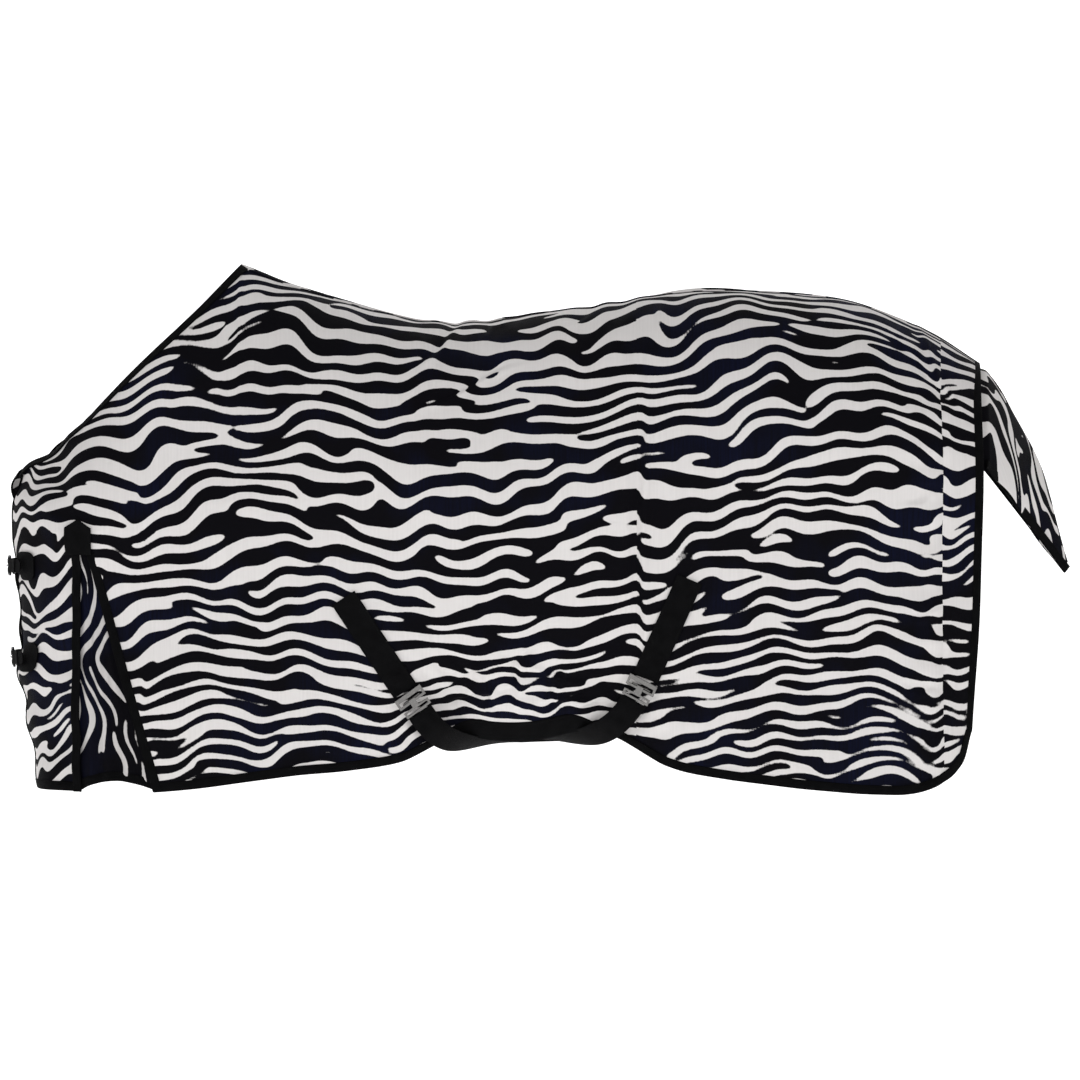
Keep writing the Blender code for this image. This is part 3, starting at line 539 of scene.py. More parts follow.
def directions(path, normal):
    """Unit tangents along a path and the directions across it, both square to normal."""
    tangent = np.gradient(path, axis=0)
    tangent -= normal * np.sum(tangent * normal, axis=-1, keepdims=True)
    tangent /= np.linalg.norm(tangent, axis=-1, keepdims=True)
    across = np.cross(normal, tangent)
    return tangent, across


def sweep(name, path, normal, across, profile, widen=1.0):
    """A closed profile of (across, out) points carried along a path, widened along it."""
    profile = np.array(list(profile) + [profile[0]])
    across = across * (np.ones(len(path)) * widen)[:, None]
    points = (path[:, None, :] + across[:, None, :] * profile[None, :, :1]
              + normal[:, None, :] * profile[None, :, 1:])
    far = length_along(path)
    around = length_along(profile)
    uv = np.stack(np.broadcast_arrays(far[:, None], around[None, :]), axis=-1)
    return grid(name, points, uv, seal=True)


def tape_profile(width, thickness):
    """A binding folded over an edge at 0 that reaches width inwards."""
    half = thickness / 2
    return [(width, 0.55 * half), (width - 0.0008, half), (width * 0.5, 1.06 * half), (0.0022, half),
            (0.0002, 0.72 * half), (-0.0007, 0.0), (0.0002, -0.72 * half), (0.0022, -half),
            (width * 0.5, -1.06 * half), (width - 0.0008, -half), (width, -0.55 * half)]


def flat_profile(width, thickness):
    """Webbing: a flat section with rounded edges, centred on the path."""
    w = width / 2
    h = thickness / 2
    lip = w - 0.32 * h
    flat = w - 1.2 * h
    return [(-w, 0.0), (-lip, 0.7 * h), (-flat, h), (0.0, h), (flat, h), (lip, 0.7 * h),
            (w, 0.0), (lip, -0.7 * h), (flat, -h), (0.0, -h), (-flat, -h), (-lip, -0.7 * h)]


def finish_piece(obj, mat, body, nodes=(), blend=None):
    obj.data.materials.append(mat)
    if blend:
        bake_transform(obj)
    else:
        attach(obj, body)
    if nodes:
        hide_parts(*nodes)
    return obj


# ---------------------------------------------------------------- materials


def node(tree, kind, x, y, **values):
    made = tree.nodes.new(kind)
    made.location = (x, y)
    for key, value in values.items():
        setattr(made, key, value)
    return made


def math_node(tree, operation, x, y, a, b=None, c=None, clamp=False):
    made = node(tree, "ShaderNodeMath", x, y, operation=operation, use_clamp=clamp)
    for socket, value in zip(made.inputs, (a, b, c)):
        if value is None:
            continue
        if isinstance(value, (int, float)):
            socket.default_value = value
        else:
            tree.links.new(value, socket)
    return made.outputs[0]


def weave_group():
    """A plain weave over UV in metres: Height, the lift of the crossing yarns, for bump, and Streak, a noise
    stretched along the yarns.
    """
    group = bpy.data.node_groups.get("plain_weave")
    if group:
        return group
    group = bpy.data.node_groups.new("plain_weave", "ShaderNodeTree")
    group.interface.new_socket("Pitch U", in_out="INPUT", socket_type="NodeSocketFloat").default_value = 0.002
    group.interface.new_socket("Pitch V", in_out="INPUT", socket_type="NodeSocketFloat").default_value = 0.002
    group.interface.new_socket("Height", in_out="OUTPUT", socket_type="NodeSocketFloat")
    group.interface.new_socket("Streak", in_out="OUTPUT", socket_type="NodeSocketFloat")
    start = node(group, "NodeGroupInput", -900, 0)
    end = node(group, "NodeGroupOutput", 500, 0)
    uv = node(group, "ShaderNodeUVMap", -900, 200, uv_map="UVMap")
    split = node(group, "ShaderNodeSeparateXYZ", -700, 200)
    group.links.new(uv.outputs[0], split.inputs[0])
    along = math_node(group, "DIVIDE", -500, 250, split.outputs[0], start.outputs["Pitch U"])
    over = math_node(group, "DIVIDE", -500, 100, split.outputs[1], start.outputs["Pitch V"])
    warp = math_node(group, "SINE", -300, 250, math_node(group, "MULTIPLY", -400, 250, along, 2 * math.pi))
    weft = math_node(group, "SINE", -300, 100, math_node(group, "MULTIPLY", -400, 100, over, 2 * math.pi))
    height = math_node(group, "ADD", 0, 150, math_node(group, "ABSOLUTE", -150, 250, warp),
                       math_node(group, "ABSOLUTE", -150, 100, weft))
    group.links.new(height, end.inputs["Height"])
    stretch = node(group, "ShaderNodeMapping", -500, -150)
    stretch.inputs["Scale"].default_value = (260.0, 9.0, 1.0)
    group.links.new(uv.outputs[0], stretch.inputs["Vector"])
    streak = node(group, "ShaderNodeTexNoise", -250, -150, noise_dimensions="2D")
    streak.inputs["Scale"].default_value = 1.0
    streak.inputs["Detail"].default_value = 3.0
    group.links.new(stretch.outputs[0], streak.inputs["Vector"])
    group.links.new(streak.outputs[0], end.inputs["Streak"])
    return group


def new_material(name):
    mat = bpy.data.materials.new(name)
    mat.use_nodes = True
    return mat, mat.node_tree, mat.node_tree.nodes["Principled BSDF"]


def printed_cloth(props, name="printed_mesh", painted_shade_factor=1.0):
    """Fine mesh cloth with the zebra print: white yarn, a black ink with bluish patches of painted sheen, and
    weave. A painted_shade_factor below 1 darkens the yarn as painted shade.
    """
    mat, tree, shader = new_material(name)
    field = node(tree, "ShaderNodeAttribute", -1300, 300, attribute_name="print")
    coords = node(tree, "ShaderNodeTexCoord", -1500, 0)
    fray = node(tree, "ShaderNodeTexNoise", -1300, 100)
    fray.inputs["Scale"].default_value = 160.0
    fray.inputs["Detail"].default_value = 2.0
    tree.links.new(coords.outputs["Object"], fray.inputs["Vector"])
    rough = math_node(tree, "MULTIPLY_ADD", -1100, 150, fray.outputs[0], 0.0012, -0.0006)
    edge = math_node(tree, "ADD", -950, 250, field.outputs["Fac"], rough)
    ink = node(tree, "ShaderNodeMapRange", -800, 250, interpolation_type="SMOOTHSTEP")
    ink.inputs["From Min"].default_value = -0.0005
    ink.inputs["From Max"].default_value = 0.0005
    tree.links.new(edge, ink.inputs["Value"])
    weave = node(tree, "ShaderNodeGroup", -1300, -200, node_tree=weave_group())
    weave.inputs["Pitch U"].default_value = props.mesh_pitch
    weave.inputs["Pitch V"].default_value = props.mesh_pitch
    # Painted sheen: noise patches, streaked along the yarns, turn the ink's colour towards a bluish sheen
    # colour
    patch = node(tree, "ShaderNodeTexNoise", -1100, -50)
    patch.inputs["Scale"].default_value = 5.0
    patch.inputs["Detail"].default_value = 3.0
    tree.links.new(coords.outputs["Object"], patch.inputs["Vector"])
    sheen = node(tree, "ShaderNodeMapRange", -900, -50)
    sheen.inputs["From Min"].default_value = 0.48
    sheen.inputs["From Max"].default_value = 0.66
    tree.links.new(patch.outputs[0], sheen.inputs["Value"])
    # The yarn's white times painted_shade_factor: below 1 it is painted shade
    white = node(tree, "ShaderNodeMix", -600, 100, data_type="RGBA")
    white.inputs["A"].default_value = (*[c * painted_shade_factor for c in props.yarn_white], 1.0)
    white.inputs["B"].default_value = (*[c * painted_shade_factor * 0.90 for c in props.yarn_white], 1.0)
    tree.links.new(weave.outputs["Streak"], white.inputs["Factor"])
    black = node(tree, "ShaderNodeMix", -600, -150, data_type="RGBA")
    black.inputs["A"].default_value = (*props.ink_black, 1.0)
    black.inputs["B"].default_value = (*props.ink_painted_sheen, 1.0)
    streaked_painted_sheen = math_node(tree, "MULTIPLY", -750, -100, sheen.outputs[0], weave.outputs["Streak"])
    tree.links.new(streaked_painted_sheen, black.inputs["Factor"])
    color = node(tree, "ShaderNodeMix", -350, 150, data_type="RGBA")
    tree.links.new(ink.outputs[0], color.inputs["Factor"])
    tree.links.new(white.outputs["Result"], color.inputs["A"])
    tree.links.new(black.outputs["Result"], color.inputs["B"])
    tree.links.new(color.outputs["Result"], shader.inputs["Base Color"])
    gloss = math_node(tree, "MULTIPLY_ADD", -350, -100, ink.outputs[0], 0.04, 0.72)
    tree.links.new(gloss, shader.inputs["Roughness"])
    relief = node(tree, "ShaderNodeBump", -250, -300)
    relief.inputs["Strength"].default_value = 0.35
    relief.inputs["Distance"].default_value = 0.0004
    tree.links.new(weave.outputs["Height"], relief.inputs["Height"])
    tree.links.new(relief.outputs[0], shader.inputs["Normal"])
    shader.inputs["Specular IOR Level"].default_value = 0.03
    return mat


def stitch_group():
    """Rows of stitches along a piece, Inset from both edges of its Width: a mask of the thread."""
    if "stitch_rows" in bpy.data.node_groups:
        return bpy.data.node_groups["stitch_rows"]
    tree = bpy.data.node_groups.new("stitch_rows", "ShaderNodeTree")
    for label, value in (("Width", 0.05), ("Inset", 0.003), ("Pitch", 0.004)):
        tree.interface.new_socket(label, in_out="INPUT", socket_type="NodeSocketFloat").default_value = value
    tree.interface.new_socket("Thread", in_out="OUTPUT", socket_type="NodeSocketFloat")
    come = node(tree, "NodeGroupInput", -1000, 0)
    leave = node(tree, "NodeGroupOutput", 400, 0)
    coords = node(tree, "ShaderNodeUVMap", -1000, -200, uv_map="UVMap")
    apart = node(tree, "ShaderNodeSeparateXYZ", -800, -200)
    tree.links.new(coords.outputs[0], apart.inputs[0])
    half = math_node(tree, "MULTIPLY", -600, 0, come.outputs["Width"], 0.5)
    off_middle = math_node(tree, "SUBTRACT", -520, 0, apart.outputs["Y"], half)
    middle = math_node(tree, "ABSOLUTE", -450, 0, off_middle)
    line = math_node(tree, "SUBTRACT", -450, 120, half, come.outputs["Inset"])
    off_line = math_node(tree, "ABSOLUTE", -200, 60, math_node(tree, "SUBTRACT", -300, 60, middle, line))
    on_row = math_node(tree, "LESS_THAN", -50, 60, off_line, 0.00045)
    stitches = math_node(tree, "DIVIDE", -450, -200, apart.outputs["X"], come.outputs["Pitch"])
    beat = math_node(tree, "FRACT", -300, -200, stitches)
    on_beat = math_node(tree, "LESS_THAN", -150, -200, beat, 0.68)
    tree.links.new(math_node(tree, "MULTIPLY", 150, 0, on_row, on_beat), leave.inputs["Thread"])
    return tree


def black_textile(name, color, pitch_u, pitch_v, roughness, sewn=(0.0, 0.0)):
    """Black woven tape or webbing with a fine rib, slightly greyed high threads and rows of stitches.

    sewn is the width that the rows run along both sides of and how far in they are.
    """
    mat, tree, shader = new_material(name)
    weave = node(tree, "ShaderNodeGroup", -900, 0, node_tree=weave_group())
    weave.inputs["Pitch U"].default_value = pitch_u
    weave.inputs["Pitch V"].default_value = pitch_v
    coords = node(tree, "ShaderNodeTexCoord", -900, -250)
    thread_noise = node(tree, "ShaderNodeTexNoise", -700, -250)
    thread_noise.inputs["Scale"].default_value = 45.0
    thread_noise.inputs["Detail"].default_value = 4.0
    tree.links.new(coords.outputs["Object"], thread_noise.inputs["Vector"])
    thread = node(tree, "ShaderNodeGroup", -900, 250, node_tree=stitch_group())
    thread.inputs["Width"].default_value = sewn[0]
    thread.inputs["Inset"].default_value = sewn[1]
    is_sewn = 1.0 if sewn[0] else 0.0
    # Greyer on the high threads of the weave, in noise patches
    greyed_high_threads = math_node(tree, "MULTIPLY", -500, -100, weave.outputs["Height"], thread_noise.outputs[0])
    pale = math_node(tree, "MULTIPLY", -500, 150, thread.outputs[0], 0.9 * is_sewn)
    tone = math_node(tree, "MAXIMUM", -400, 0, greyed_high_threads, pale)
    proud = math_node(tree, "MULTIPLY", -600, -350, thread.outputs[0], 1.5 * is_sewn)
    high = math_node(tree, "ADD", -500, -350, weave.outputs["Height"], proud)
    color_mix = node(tree, "ShaderNodeMix", -300, 50, data_type="RGBA")
    color_mix.inputs["A"].default_value = (*color, 1.0)
    color_mix.inputs["B"].default_value = (*[c * 2.6 + 0.002 for c in color], 1.0)
    tree.links.new(tone, color_mix.inputs["Factor"])
    tree.links.new(color_mix.outputs["Result"], shader.inputs["Base Color"])
    shader.inputs["Roughness"].default_value = roughness
    shader.inputs["Specular IOR Level"].default_value = 0.03
    relief = node(tree, "ShaderNodeBump", -300, -300)
    relief.inputs["Strength"].default_value = 0.6
    relief.inputs["Distance"].default_value = 0.0005
    tree.links.new(high, relief.inputs["Height"])
    tree.links.new(relief.outputs[0], shader.inputs["Normal"])
    return mat


def metal(name, color, roughness, metallic=1.0):
    """Plated or coated metal with faint handling marks."""
    mat, tree, shader = new_material(name)
    coords = node(tree, "ShaderNodeTexCoord", -800, 0)
    marks = node(tree, "ShaderNodeTexNoise", -600, 0)
    marks.inputs["Scale"].default_value = 180.0
    marks.inputs["Detail"].default_value = 5.0
    tree.links.new(coords.outputs["Object"], marks.inputs["Vector"])
    gloss = node(tree, "ShaderNodeMapRange", -400, 0)
    gloss.inputs["To Min"].default_value = roughness * 0.7
    gloss.inputs["To Max"].default_value = roughness * 1.5
    tree.links.new(marks.outputs[0], gloss.inputs["Value"])
    tree.links.new(gloss.outputs[0], shader.inputs["Roughness"])
    tint = node(tree, "ShaderNodeMix", -300, 200, data_type="RGBA")
    tint.inputs["A"].default_value = (*color, 1.0)
    tint.inputs["B"].default_value = (*[c * 0.75 for c in color], 1.0)
    tree.links.new(marks.outputs[0], tint.inputs["Factor"])
    tree.links.new(tint.outputs["Result"], shader.inputs["Base Color"])
    shader.inputs["Metallic"].default_value = metallic
    return mat


def shared(name, make):
    """The material of that name, made the first time it is asked for."""
    return bpy.data.materials.get(name) or make()


def cloth_material(props):
    return shared("printed_mesh", lambda: printed_cloth(props))


def tape_material(props):
    rows = (props.binding_width - 0.001, 0.0022)
    return shared("edge_tape",
                  lambda: black_textile("edge_tape", props.tape_black, 0.0016, 0.0011, 0.78, rows))


def webbing_material(props, name="woven_webbing", rows=(0.0, 0.0)):
    """Webbing, with stitches along both its sides where it is sewn down."""
    return shared(name, lambda: black_textile(name, props.webbing_black, 0.0022, 0.003, 0.72, rows))


# ---------------------------------------------------------------- settings


class FlySheetSettings(bpy.types.PropertyGroup):
    stripe_size: FloatProperty(name="Stripe size", description="Scale of the zebra print's stripes",
                               default=1.0, min=0.5, max=2.0)
    print_seed: IntProperty(name="Print seed", description="Another number gives another print", default=3)
    mesh_pitch: FloatProperty(name="Mesh pitch", description="Spacing of the mesh's yarns", default=0.0016,
                              unit="LENGTH")
    binding_width: FloatProperty(name="Binding width", description="Face of the edge binding", default=0.017,
                                 unit="LENGTH")
    binding_thickness: FloatProperty(name="Binding thickness", description="Folded tape and cloth together",
                                     default=0.0036, unit="LENGTH")
    webbing_width: FloatProperty(name="Girth webbing", description="Width of the tabs and girth straps",
                                 default=0.050, unit="LENGTH")
    strap_width: FloatProperty(name="Chest strap", description="Width of the chest straps", default=0.025,
                               unit="LENGTH")
    yarn_white: FloatVectorProperty(name="Yarn", description="Unprinted cloth", default=(0.745, 0.720, 0.710),
                                    subtype="COLOR", min=0.0, max=1.0)
    ink_black: FloatVectorProperty(name="Ink", description="Printed stripes", 
                                   default=(0.0034, 0.0032, 0.0046), subtype="COLOR", min=0.0, max=1.0)
    # The bluish colour of the painted sheen patches on the ink
    ink_painted_sheen: FloatVectorProperty(name="Ink sheen", description="Where the print catches the light",
                                   default=(0.0048, 0.0066, 0.0230), subtype="COLOR", min=0.0, max=1.0)
    tape_black: FloatVectorProperty(name="Binding colour", description="Edge binding",
                                    default=(0.0012, 0.0012, 0.0014), subtype="COLOR", min=0.0, max=1.0)
    webbing_black: FloatVectorProperty(name="Webbing colour", description="Tabs and straps",
                                       default=(0.0013, 0.0013, 0.0015), subtype="COLOR", min=0.0, max=1.0)


def settings():
    return bpy.context.scene.fly_sheet


# ---------------------------------------------------------------- operators


class FLYSHEET_OT_stage(bpy.types.Operator):
    """Pale floor, soft light and the camera"""
    bl_idname = "flysheet.stage"
    bl_label = "Stage"

    def execute(self, context):
        (x0, _, z0), (x1, _, z1) = CAD_BOX
        floor_z = z0 - 0.60
        profile = [(-8.0, floor_z), (3.0, floor_z)]
        for k in range(1, 13):
            angle = math.radians(7.5 * k)
            profile.append((3.0 + 2.0 * math.sin(angle), floor_z + 2.0 * (1.0 - math.cos(angle))))
        profile.append((5.0, floor_z + 9.0))
        xs = np.linspace(-12.0, 13.0, 3)
        points = np.array([[(x, y, z) for y, z in profile] for x in xs])
        uv = points[..., :2] * 0.1
        floor = grid("studio_floor", points, uv)
        mat, tree, shader = new_material("pale_backdrop")
        shader.inputs["Base Color"].default_value = (0.93, 0.93, 0.93, 1.0)
        shader.inputs["Roughness"].default_value = 0.9
        shader.inputs["Emission Color"].default_value = (1.0, 1.0, 1.0, 1.0)
        shader.inputs["Emission Strength"].default_value = 0.66
        back = node(tree, "ShaderNodeNewGeometry", -300, 300)
        clear = node(tree, "ShaderNodeBsdfTransparent", -300, -300)
        either = node(tree, "ShaderNodeMixShader", 200, 100)
        tree.links.new(back.outputs["Backfacing"], either.inputs[0])
        tree.links.new(shader.outputs[0], either.inputs[1])
        tree.links.new(clear.outputs[0], either.inputs[2])
        tree.links.new(either.outputs[0], tree.nodes["Material Output"].inputs["Surface"])
        floor.data.materials.append(mat)
        world = bpy.data.worlds.new("studio")
        world.use_nodes = True
        air = world.node_tree
        background = air.nodes["Background"]
        background.inputs[0].default_value = (1.0, 1.0, 1.0, 1.0)
        seen = node(air, "ShaderNodeLightPath", -600, 0)
        level = math_node(air, "MULTIPLY_ADD", -300, 0, seen.outputs["Is Camera Ray"], 0.66, 0.34)
        air.links.new(level, background.inputs[1])
        context.scene.world = world
        middle = Vector(((x0 + x1) / 2, 0.0, (z0 + z1) / 2))
        for name, place, size, power in (("key_light", (-1.6, -4.6, 1.6), 2.6, 68.0),
                                         ("fill_light", (3.2, -4.6, 0.6), 3.2, 44.0),
                                         ("top_light", (0.6, -0.6, 3.6), 3.0, 18.0),
                                         ("back_light", (0.4, 4.0, 1.6), 3.0, 15.0)):
            light = bpy.data.lights.new(name, "AREA")
            light.energy = power
            light.size = size
            lamp = bpy.data.objects.new(name, light)
            lamp.location = place
            lamp.rotation_euler = (middle - Vector(place)).to_track_quat("-Z", "Y").to_euler()
            context.scene.collection.objects.link(lamp)
        camera = bpy.data.cameras.new("camera")
        view_width = 2.0304
        distance = 28.0
        camera.sensor_width = 36.0
        camera.lens = 36.0 * distance / view_width
        camera.clip_end = 90.0
        eye = bpy.data.objects.new("camera", camera)
        target = Vector((0.564, -0.10, -0.517))
        elevation = math.radians(1.0)
        eye.location = target + Vector((0.0, -distance * math.cos(elevation), distance * math.sin(elevation)))
        eye.rotation_euler = (target - eye.location).to_track_quat("-Z", "Y").to_euler()
        context.scene.collection.objects.link(eye)
        context.scene.camera = eye
        context.scene.view_settings.view_transform = "Standard"
        return {"FINISHED"}


def print_coordinates(s, d):
    """Cloth coordinates: u round the body and v down it.

    Lines of equal v are level at the widest line and follow the back at the top.
    """
    wide = columns(s)[2]
    if d.ndim == 2:
        wide = wide[:, None]
        s = np.broadcast_to(s[:, None], d.shape)
    point = bare(s[:, 0] if d.ndim == 2 else s, d)
    x = point[..., 0]
    z = point[..., 2]
    levelling = 0.30 + 0.16 * ease((s - S_SEAM + 0.45) / 0.40)
    level = np.maximum(ease(d / levelling), ease((S_WITHERS + 0.20 - s) / 0.30))
    v = d - mix(0.42, wide, level) + 0.62
    v = v + sum(hidden for _, hidden in crease_parts(x, z))
    belly = ease((-z - 0.66) / 0.14) * bump(x, 0.545, 0.17)
    v = v + 0.0045 * belly * waves(x, z, 91, 14, 0.090, 0.060)
    v = v + 0.0050 * bump(x, SEAM_X - 0.012, 0.030) * waves(x, z, 93, 12, 0.06, 0.05)
    v = v + 0.0050 * ease((0.27 - s) / 0.12) * waves(s, v, 92, 12, 0.11, 0.09)
    return s, v


def printed(props, u, v, side):
    periods = [(at, period * props.stripe_size) for at, period in STRIPE_PERIODS]
    return zebra(u, v, periods, props.print_seed + (0 if side < 0 else 40))


class FLYSHEET_OT_body_cloth(bpy.types.Operator):
    """The printed cloth of both sides, from the chest and the gusset slit to the rear edge"""
    bl_idname = "flysheet.body_cloth"
    bl_label = "Body cloth"

    def execute(self, context):
        for word, side in SIDES.items():
            cloth = np.concatenate([np.linspace(0.0015, S_SLIT, 68),
                                    np.linspace(S_SLIT, S_SHEAR_END, 100)[1:],
                                    np.linspace(S_SHEAR_END, S_FLANK, 128)[1:]])
            panels = (f"{word}_shoulder_panel", f"{word}_barrel_panel")
            self.build(f"{word}_front_cloth", cloth, side, panels, 68, (1.31, 1.22), 1.24)
            cloth = np.linspace(S_FLANK, S_SEAM, 126)
            self.build(f"{word}_rear_cloth", cloth, side, (f"{word}_croup_panel",), 0, (0.58, 1.22), 0.62)
            cloth = np.linspace(S_SEAM, S_END - 0.0015, 24)
            self.build(f"{word}_hind_cloth", cloth, side, (f"{word}_hind_panel",), 0, (0.075, 1.22), 0.07)
        return {"FINISHED"}

    def build(self, name, s, side, nodes, slit_columns, flat, area):
        props = settings()
        upper = np.linspace(0.0, 1.0, 195)
        lower = np.linspace(0.0, 1.0, 146)[1:]
        points = np.empty((len(s), len(upper) + len(lower), 3))
        field = np.empty(points.shape[:2])
        uv = np.empty(points.shape[:2] + (2,))
        hind = 1.0 * ("hind" in name)
        depth = mix(0.0012, drop_to(s, SLIT_Z)[:, None], upper[None, :])
        blocks = [(slice(None), slice(0, len(upper)), s, depth)]
        behind = s >= S_SHEAR_END
        depth = mix(drop_to(s[behind], SLIT_Z)[:, None], drop(s[behind])[:, None] - 0.0012, lower[None, :])
        blocks.append((behind, slice(len(upper), None), s[behind], depth))
        if slit_columns:
            moved = sheared(s[~behind][:, None], lower[None, :]) + 0.0012
            share = np.broadcast_to(lower, moved.shape).ravel()
            low = mix(drop_to(moved.ravel(), SLIT_Z), drop(moved.ravel()) - 0.0012, share)
            blocks.append((~behind, slice(len(upper), None), moved.ravel(), low))
        for columns_in, rows_in, at, depth in blocks:
            u, v = print_coordinates(at, depth)
            v = v + hind * (0.031 + 0.10 * (u - S_SEAM))
            shape = field[columns_in, rows_in].shape
            points[columns_in, rows_in] = cloth_at(at, depth, side).reshape(shape + (3,))
            field[columns_in, rows_in] = printed(props, u + 0.63 * hind, v, side).reshape(shape)
            uv[columns_in, rows_in] = np.stack([u, v], axis=-1).reshape(shape + (2,))
        keep = np.ones(points.shape[:2], bool)
        if slit_columns:
            keep[:slit_columns - 1, len(upper) - 1:] = False
        obj = grid(name, points, uv, field, keep=keep, outside=lambda c: (0.0, side, 0.2))
        finish_piece(obj, cloth_material(props), SHEET, nodes)


class FLYSHEET_OT_spine_seam(bpy.types.Operator):
    """The felled seam that joins the two sides along the back"""
    bl_idname = "flysheet.spine_seam"
    bl_label = "Spine seam"

    def execute(self, context):
        props = settings()
        s = np.linspace(S_WITHERS + 0.001, S_END - 0.002, 380)
        share = np.linspace(-1.0, 1.0, 13)
        points = np.empty((len(s), len(share), 3))
        field = np.empty(points.shape[:2])
        for j, across in enumerate(share):
            side = 1.0 if across > 0 else -1.0
            d = np.full_like(s, 0.0002 + 0.0105 * abs(across))
            points[:, j] = cloth_at(s, d, side, 0.0022 - 0.0009 * abs(across) ** 6)
            u, v = print_coordinates(s, d)
            field[:, j] = printed(props, u, v, side)
        uv = np.stack(np.broadcast_arrays(s[:, None], 0.0105 * share[None, :]), axis=-1)
        obj = grid("spine_strip", points, uv, field, outside=lambda c: (0.0, 0.0, 1.0))
        thicken(obj, 0.0014, -1.0)
        finish_piece(obj, cloth_material(props), SHEET, ["spine_seam"])
        return {"FINISHED"}


class FLYSHEET_OT_chest_flaps(bpy.types.Operator):
    """The two flaps that hang in front of the gussets and buckle together"""
    bl_idname = "flysheet.chest_flaps"
    bl_label = "Chest flaps"

    def execute(self, context):
        props = settings()
        for word, side in SIDES.items():
            s = np.linspace(0.0015, S_SLIT - 0.0052, 120)
            rows = np.linspace(0.0, 1.0, 190)
            d = mix(drop_to(s, SLIT_Z)[:, None], (drop(s) - 0.0012)[:, None], rows[None, :])
            u, v = print_coordinates(s, d)
            obj = grid(f"{word}_chest_cloth", cloth_at(s, d, side), np.stack([u, v], axis=-1),
                       printed(props, u, v, side),
                       outside=lambda c, side=side: (-0.5, side, 0.0))
            finish_piece(obj, cloth_material(props), APRON, [f"{word}_chest_flap"],
                         blend=(SHEET, APRON, (SLIT_X, 0, SLIT_Z), (SLIT_X, 0, SLIT_Z - 0.10)))
        return {"FINISHED"}


def gusset_rise(across, fall):
    """The gusset hangs slack behind its edges, in soft upright folds."""
    slack = np.sin(np.pi * across) * ease(fall * 1.4)
    return -0.004 - 0.008 * slack + 0.0040 * slack * np.cos(across * 24.0 + 2.0 * fall)


def gusset_span(z):
    """Stations of the gusset's two edges at height z."""
    w = (z - SLIT_Z) / (float(smooth(HEM_Z, SLIT_FOOT_X)) - SLIT_Z)
    return S_SLIT - 0.016, mix(S_SLIT, S_FOOT, w) + 0.012


class FLYSHEET_OT_gussets(bpy.types.Operator):
    """The printed cloth let into each slit, gathered a little and set back behind its edges"""
    bl_idname = "flysheet.gussets"
    bl_label = "Gussets"

    def execute(self, context):
        props = settings()
        for word, side in SIDES.items():
            low = float(smooth(HEM_Z, SLIT_FOOT_X))
            across = np.linspace(0.0, 1.0, 70)
            fall = np.linspace(0.0, 1.0, 180)
            points = np.empty((len(across), len(fall), 3))
            field_u = np.empty(points.shape[:2])
            field_v = np.empty(points.shape[:2])
            for j, f in enumerate(fall):
                z = mix(SLIT_Z - 0.020, low + 0.020 * np.sin(np.pi * across) + 0.002, f)
                first, last = gusset_span(z)
                s = mix(first, last, across)
                d = drop_to(s, z)
                points[:, j] = cloth_at(s, d, side, gusset_rise(across, f))
                field_u[:, j] = -z + 0.3
                field_v[:, j] = s * 1.15 + 0.9
            field = zebra(field_u, field_v, ((0.0, GUSSET_PERIOD), (1.5, GUSSET_PERIOD)),
                          11 if side < 0 else 12, 0.55, 1.6)
            obj = grid(f"{word}_gusset_cloth", points, np.stack([field_v, field_u], axis=-1), field,
                       outside=lambda c, side=side: (-0.3, side, 0.0))
            # The gusset's copy of the cloth has its yarn darkened to 0.80: painted shade for cloth set back
            # behind its edges
            mat = shared("gusset_mesh_cloth_painted_shade", lambda: printed_cloth(props, "gusset_mesh_cloth_painted_shade", 0.80))
            finish_piece(obj, mat, SHEET, [f"{word}_gusset"],
                         blend=(SHEET, APRON, (SLIT_FOOT_X, 0, SLIT_Z), (SLIT_X - 0.012, 0, SLIT_Z)))
        return {"FINISHED"}


def tail_edge(sign):
    v = np.linspace(0.0, 1.0, 60)
    return tail_surface(np.full_like(v, sign), v)


class FLYSHEET_OT_tail_flap(bpy.types.Operator):
    """The printed flap over the top of the tail"""
    bl_idname = "flysheet.tail_flap"
    bl_label = "Tail flap"

    def execute(self, context):
        props = settings()
        u = np.linspace(-1.0, 1.0, 170)[:, None]
        v = np.linspace(0.0, 1.0, 140)[None, :]
        u, v = np.broadcast_arrays(u, v)
        points = tail_surface(u, v)
        stand = 0.0030 * waves(u, v, 77, 8, 0.9, 0.7) * ease(v * 4.0)
        points = points + stand[..., None] * np.array([0.8, 0.0, 0.3])
        tucked = (1.0 - ease(v / 0.05))[..., None]
        points = points * (1.0 - tucked * np.array([0.0, 0.022, 0.0]))
        points = points - tucked * np.array([0.0125, 0.0, 0.0035])
        length = 0.44 * v
        width = 0.28 * np.sin(np.clip(np.abs(u), 0, 1) * 1.25) * np.sign(u) * mix(1.0, 0.25, v)
        field = zebra(length * 1.3 + 0.2, 1.5 * width + 0.45 + 0.10 * length,
                      ((0.0, TAIL_PERIOD), (1.5, TAIL_PERIOD)), 21, 0.30, 1.3)
        obj = grid("tail_flap_cloth", points, np.stack([width + 1.0, length], axis=-1), field,
                   outside=lambda c: (1.0, 0.0, 0.4))
        finish_piece(obj, cloth_material(props), TAIL, ["tail_flap"],
                     blend=(SHEET, TAIL, (REAR_X, 0, -0.19), (REAR_X + 0.06, 0, -0.19)))
        return {"FINISHED"}


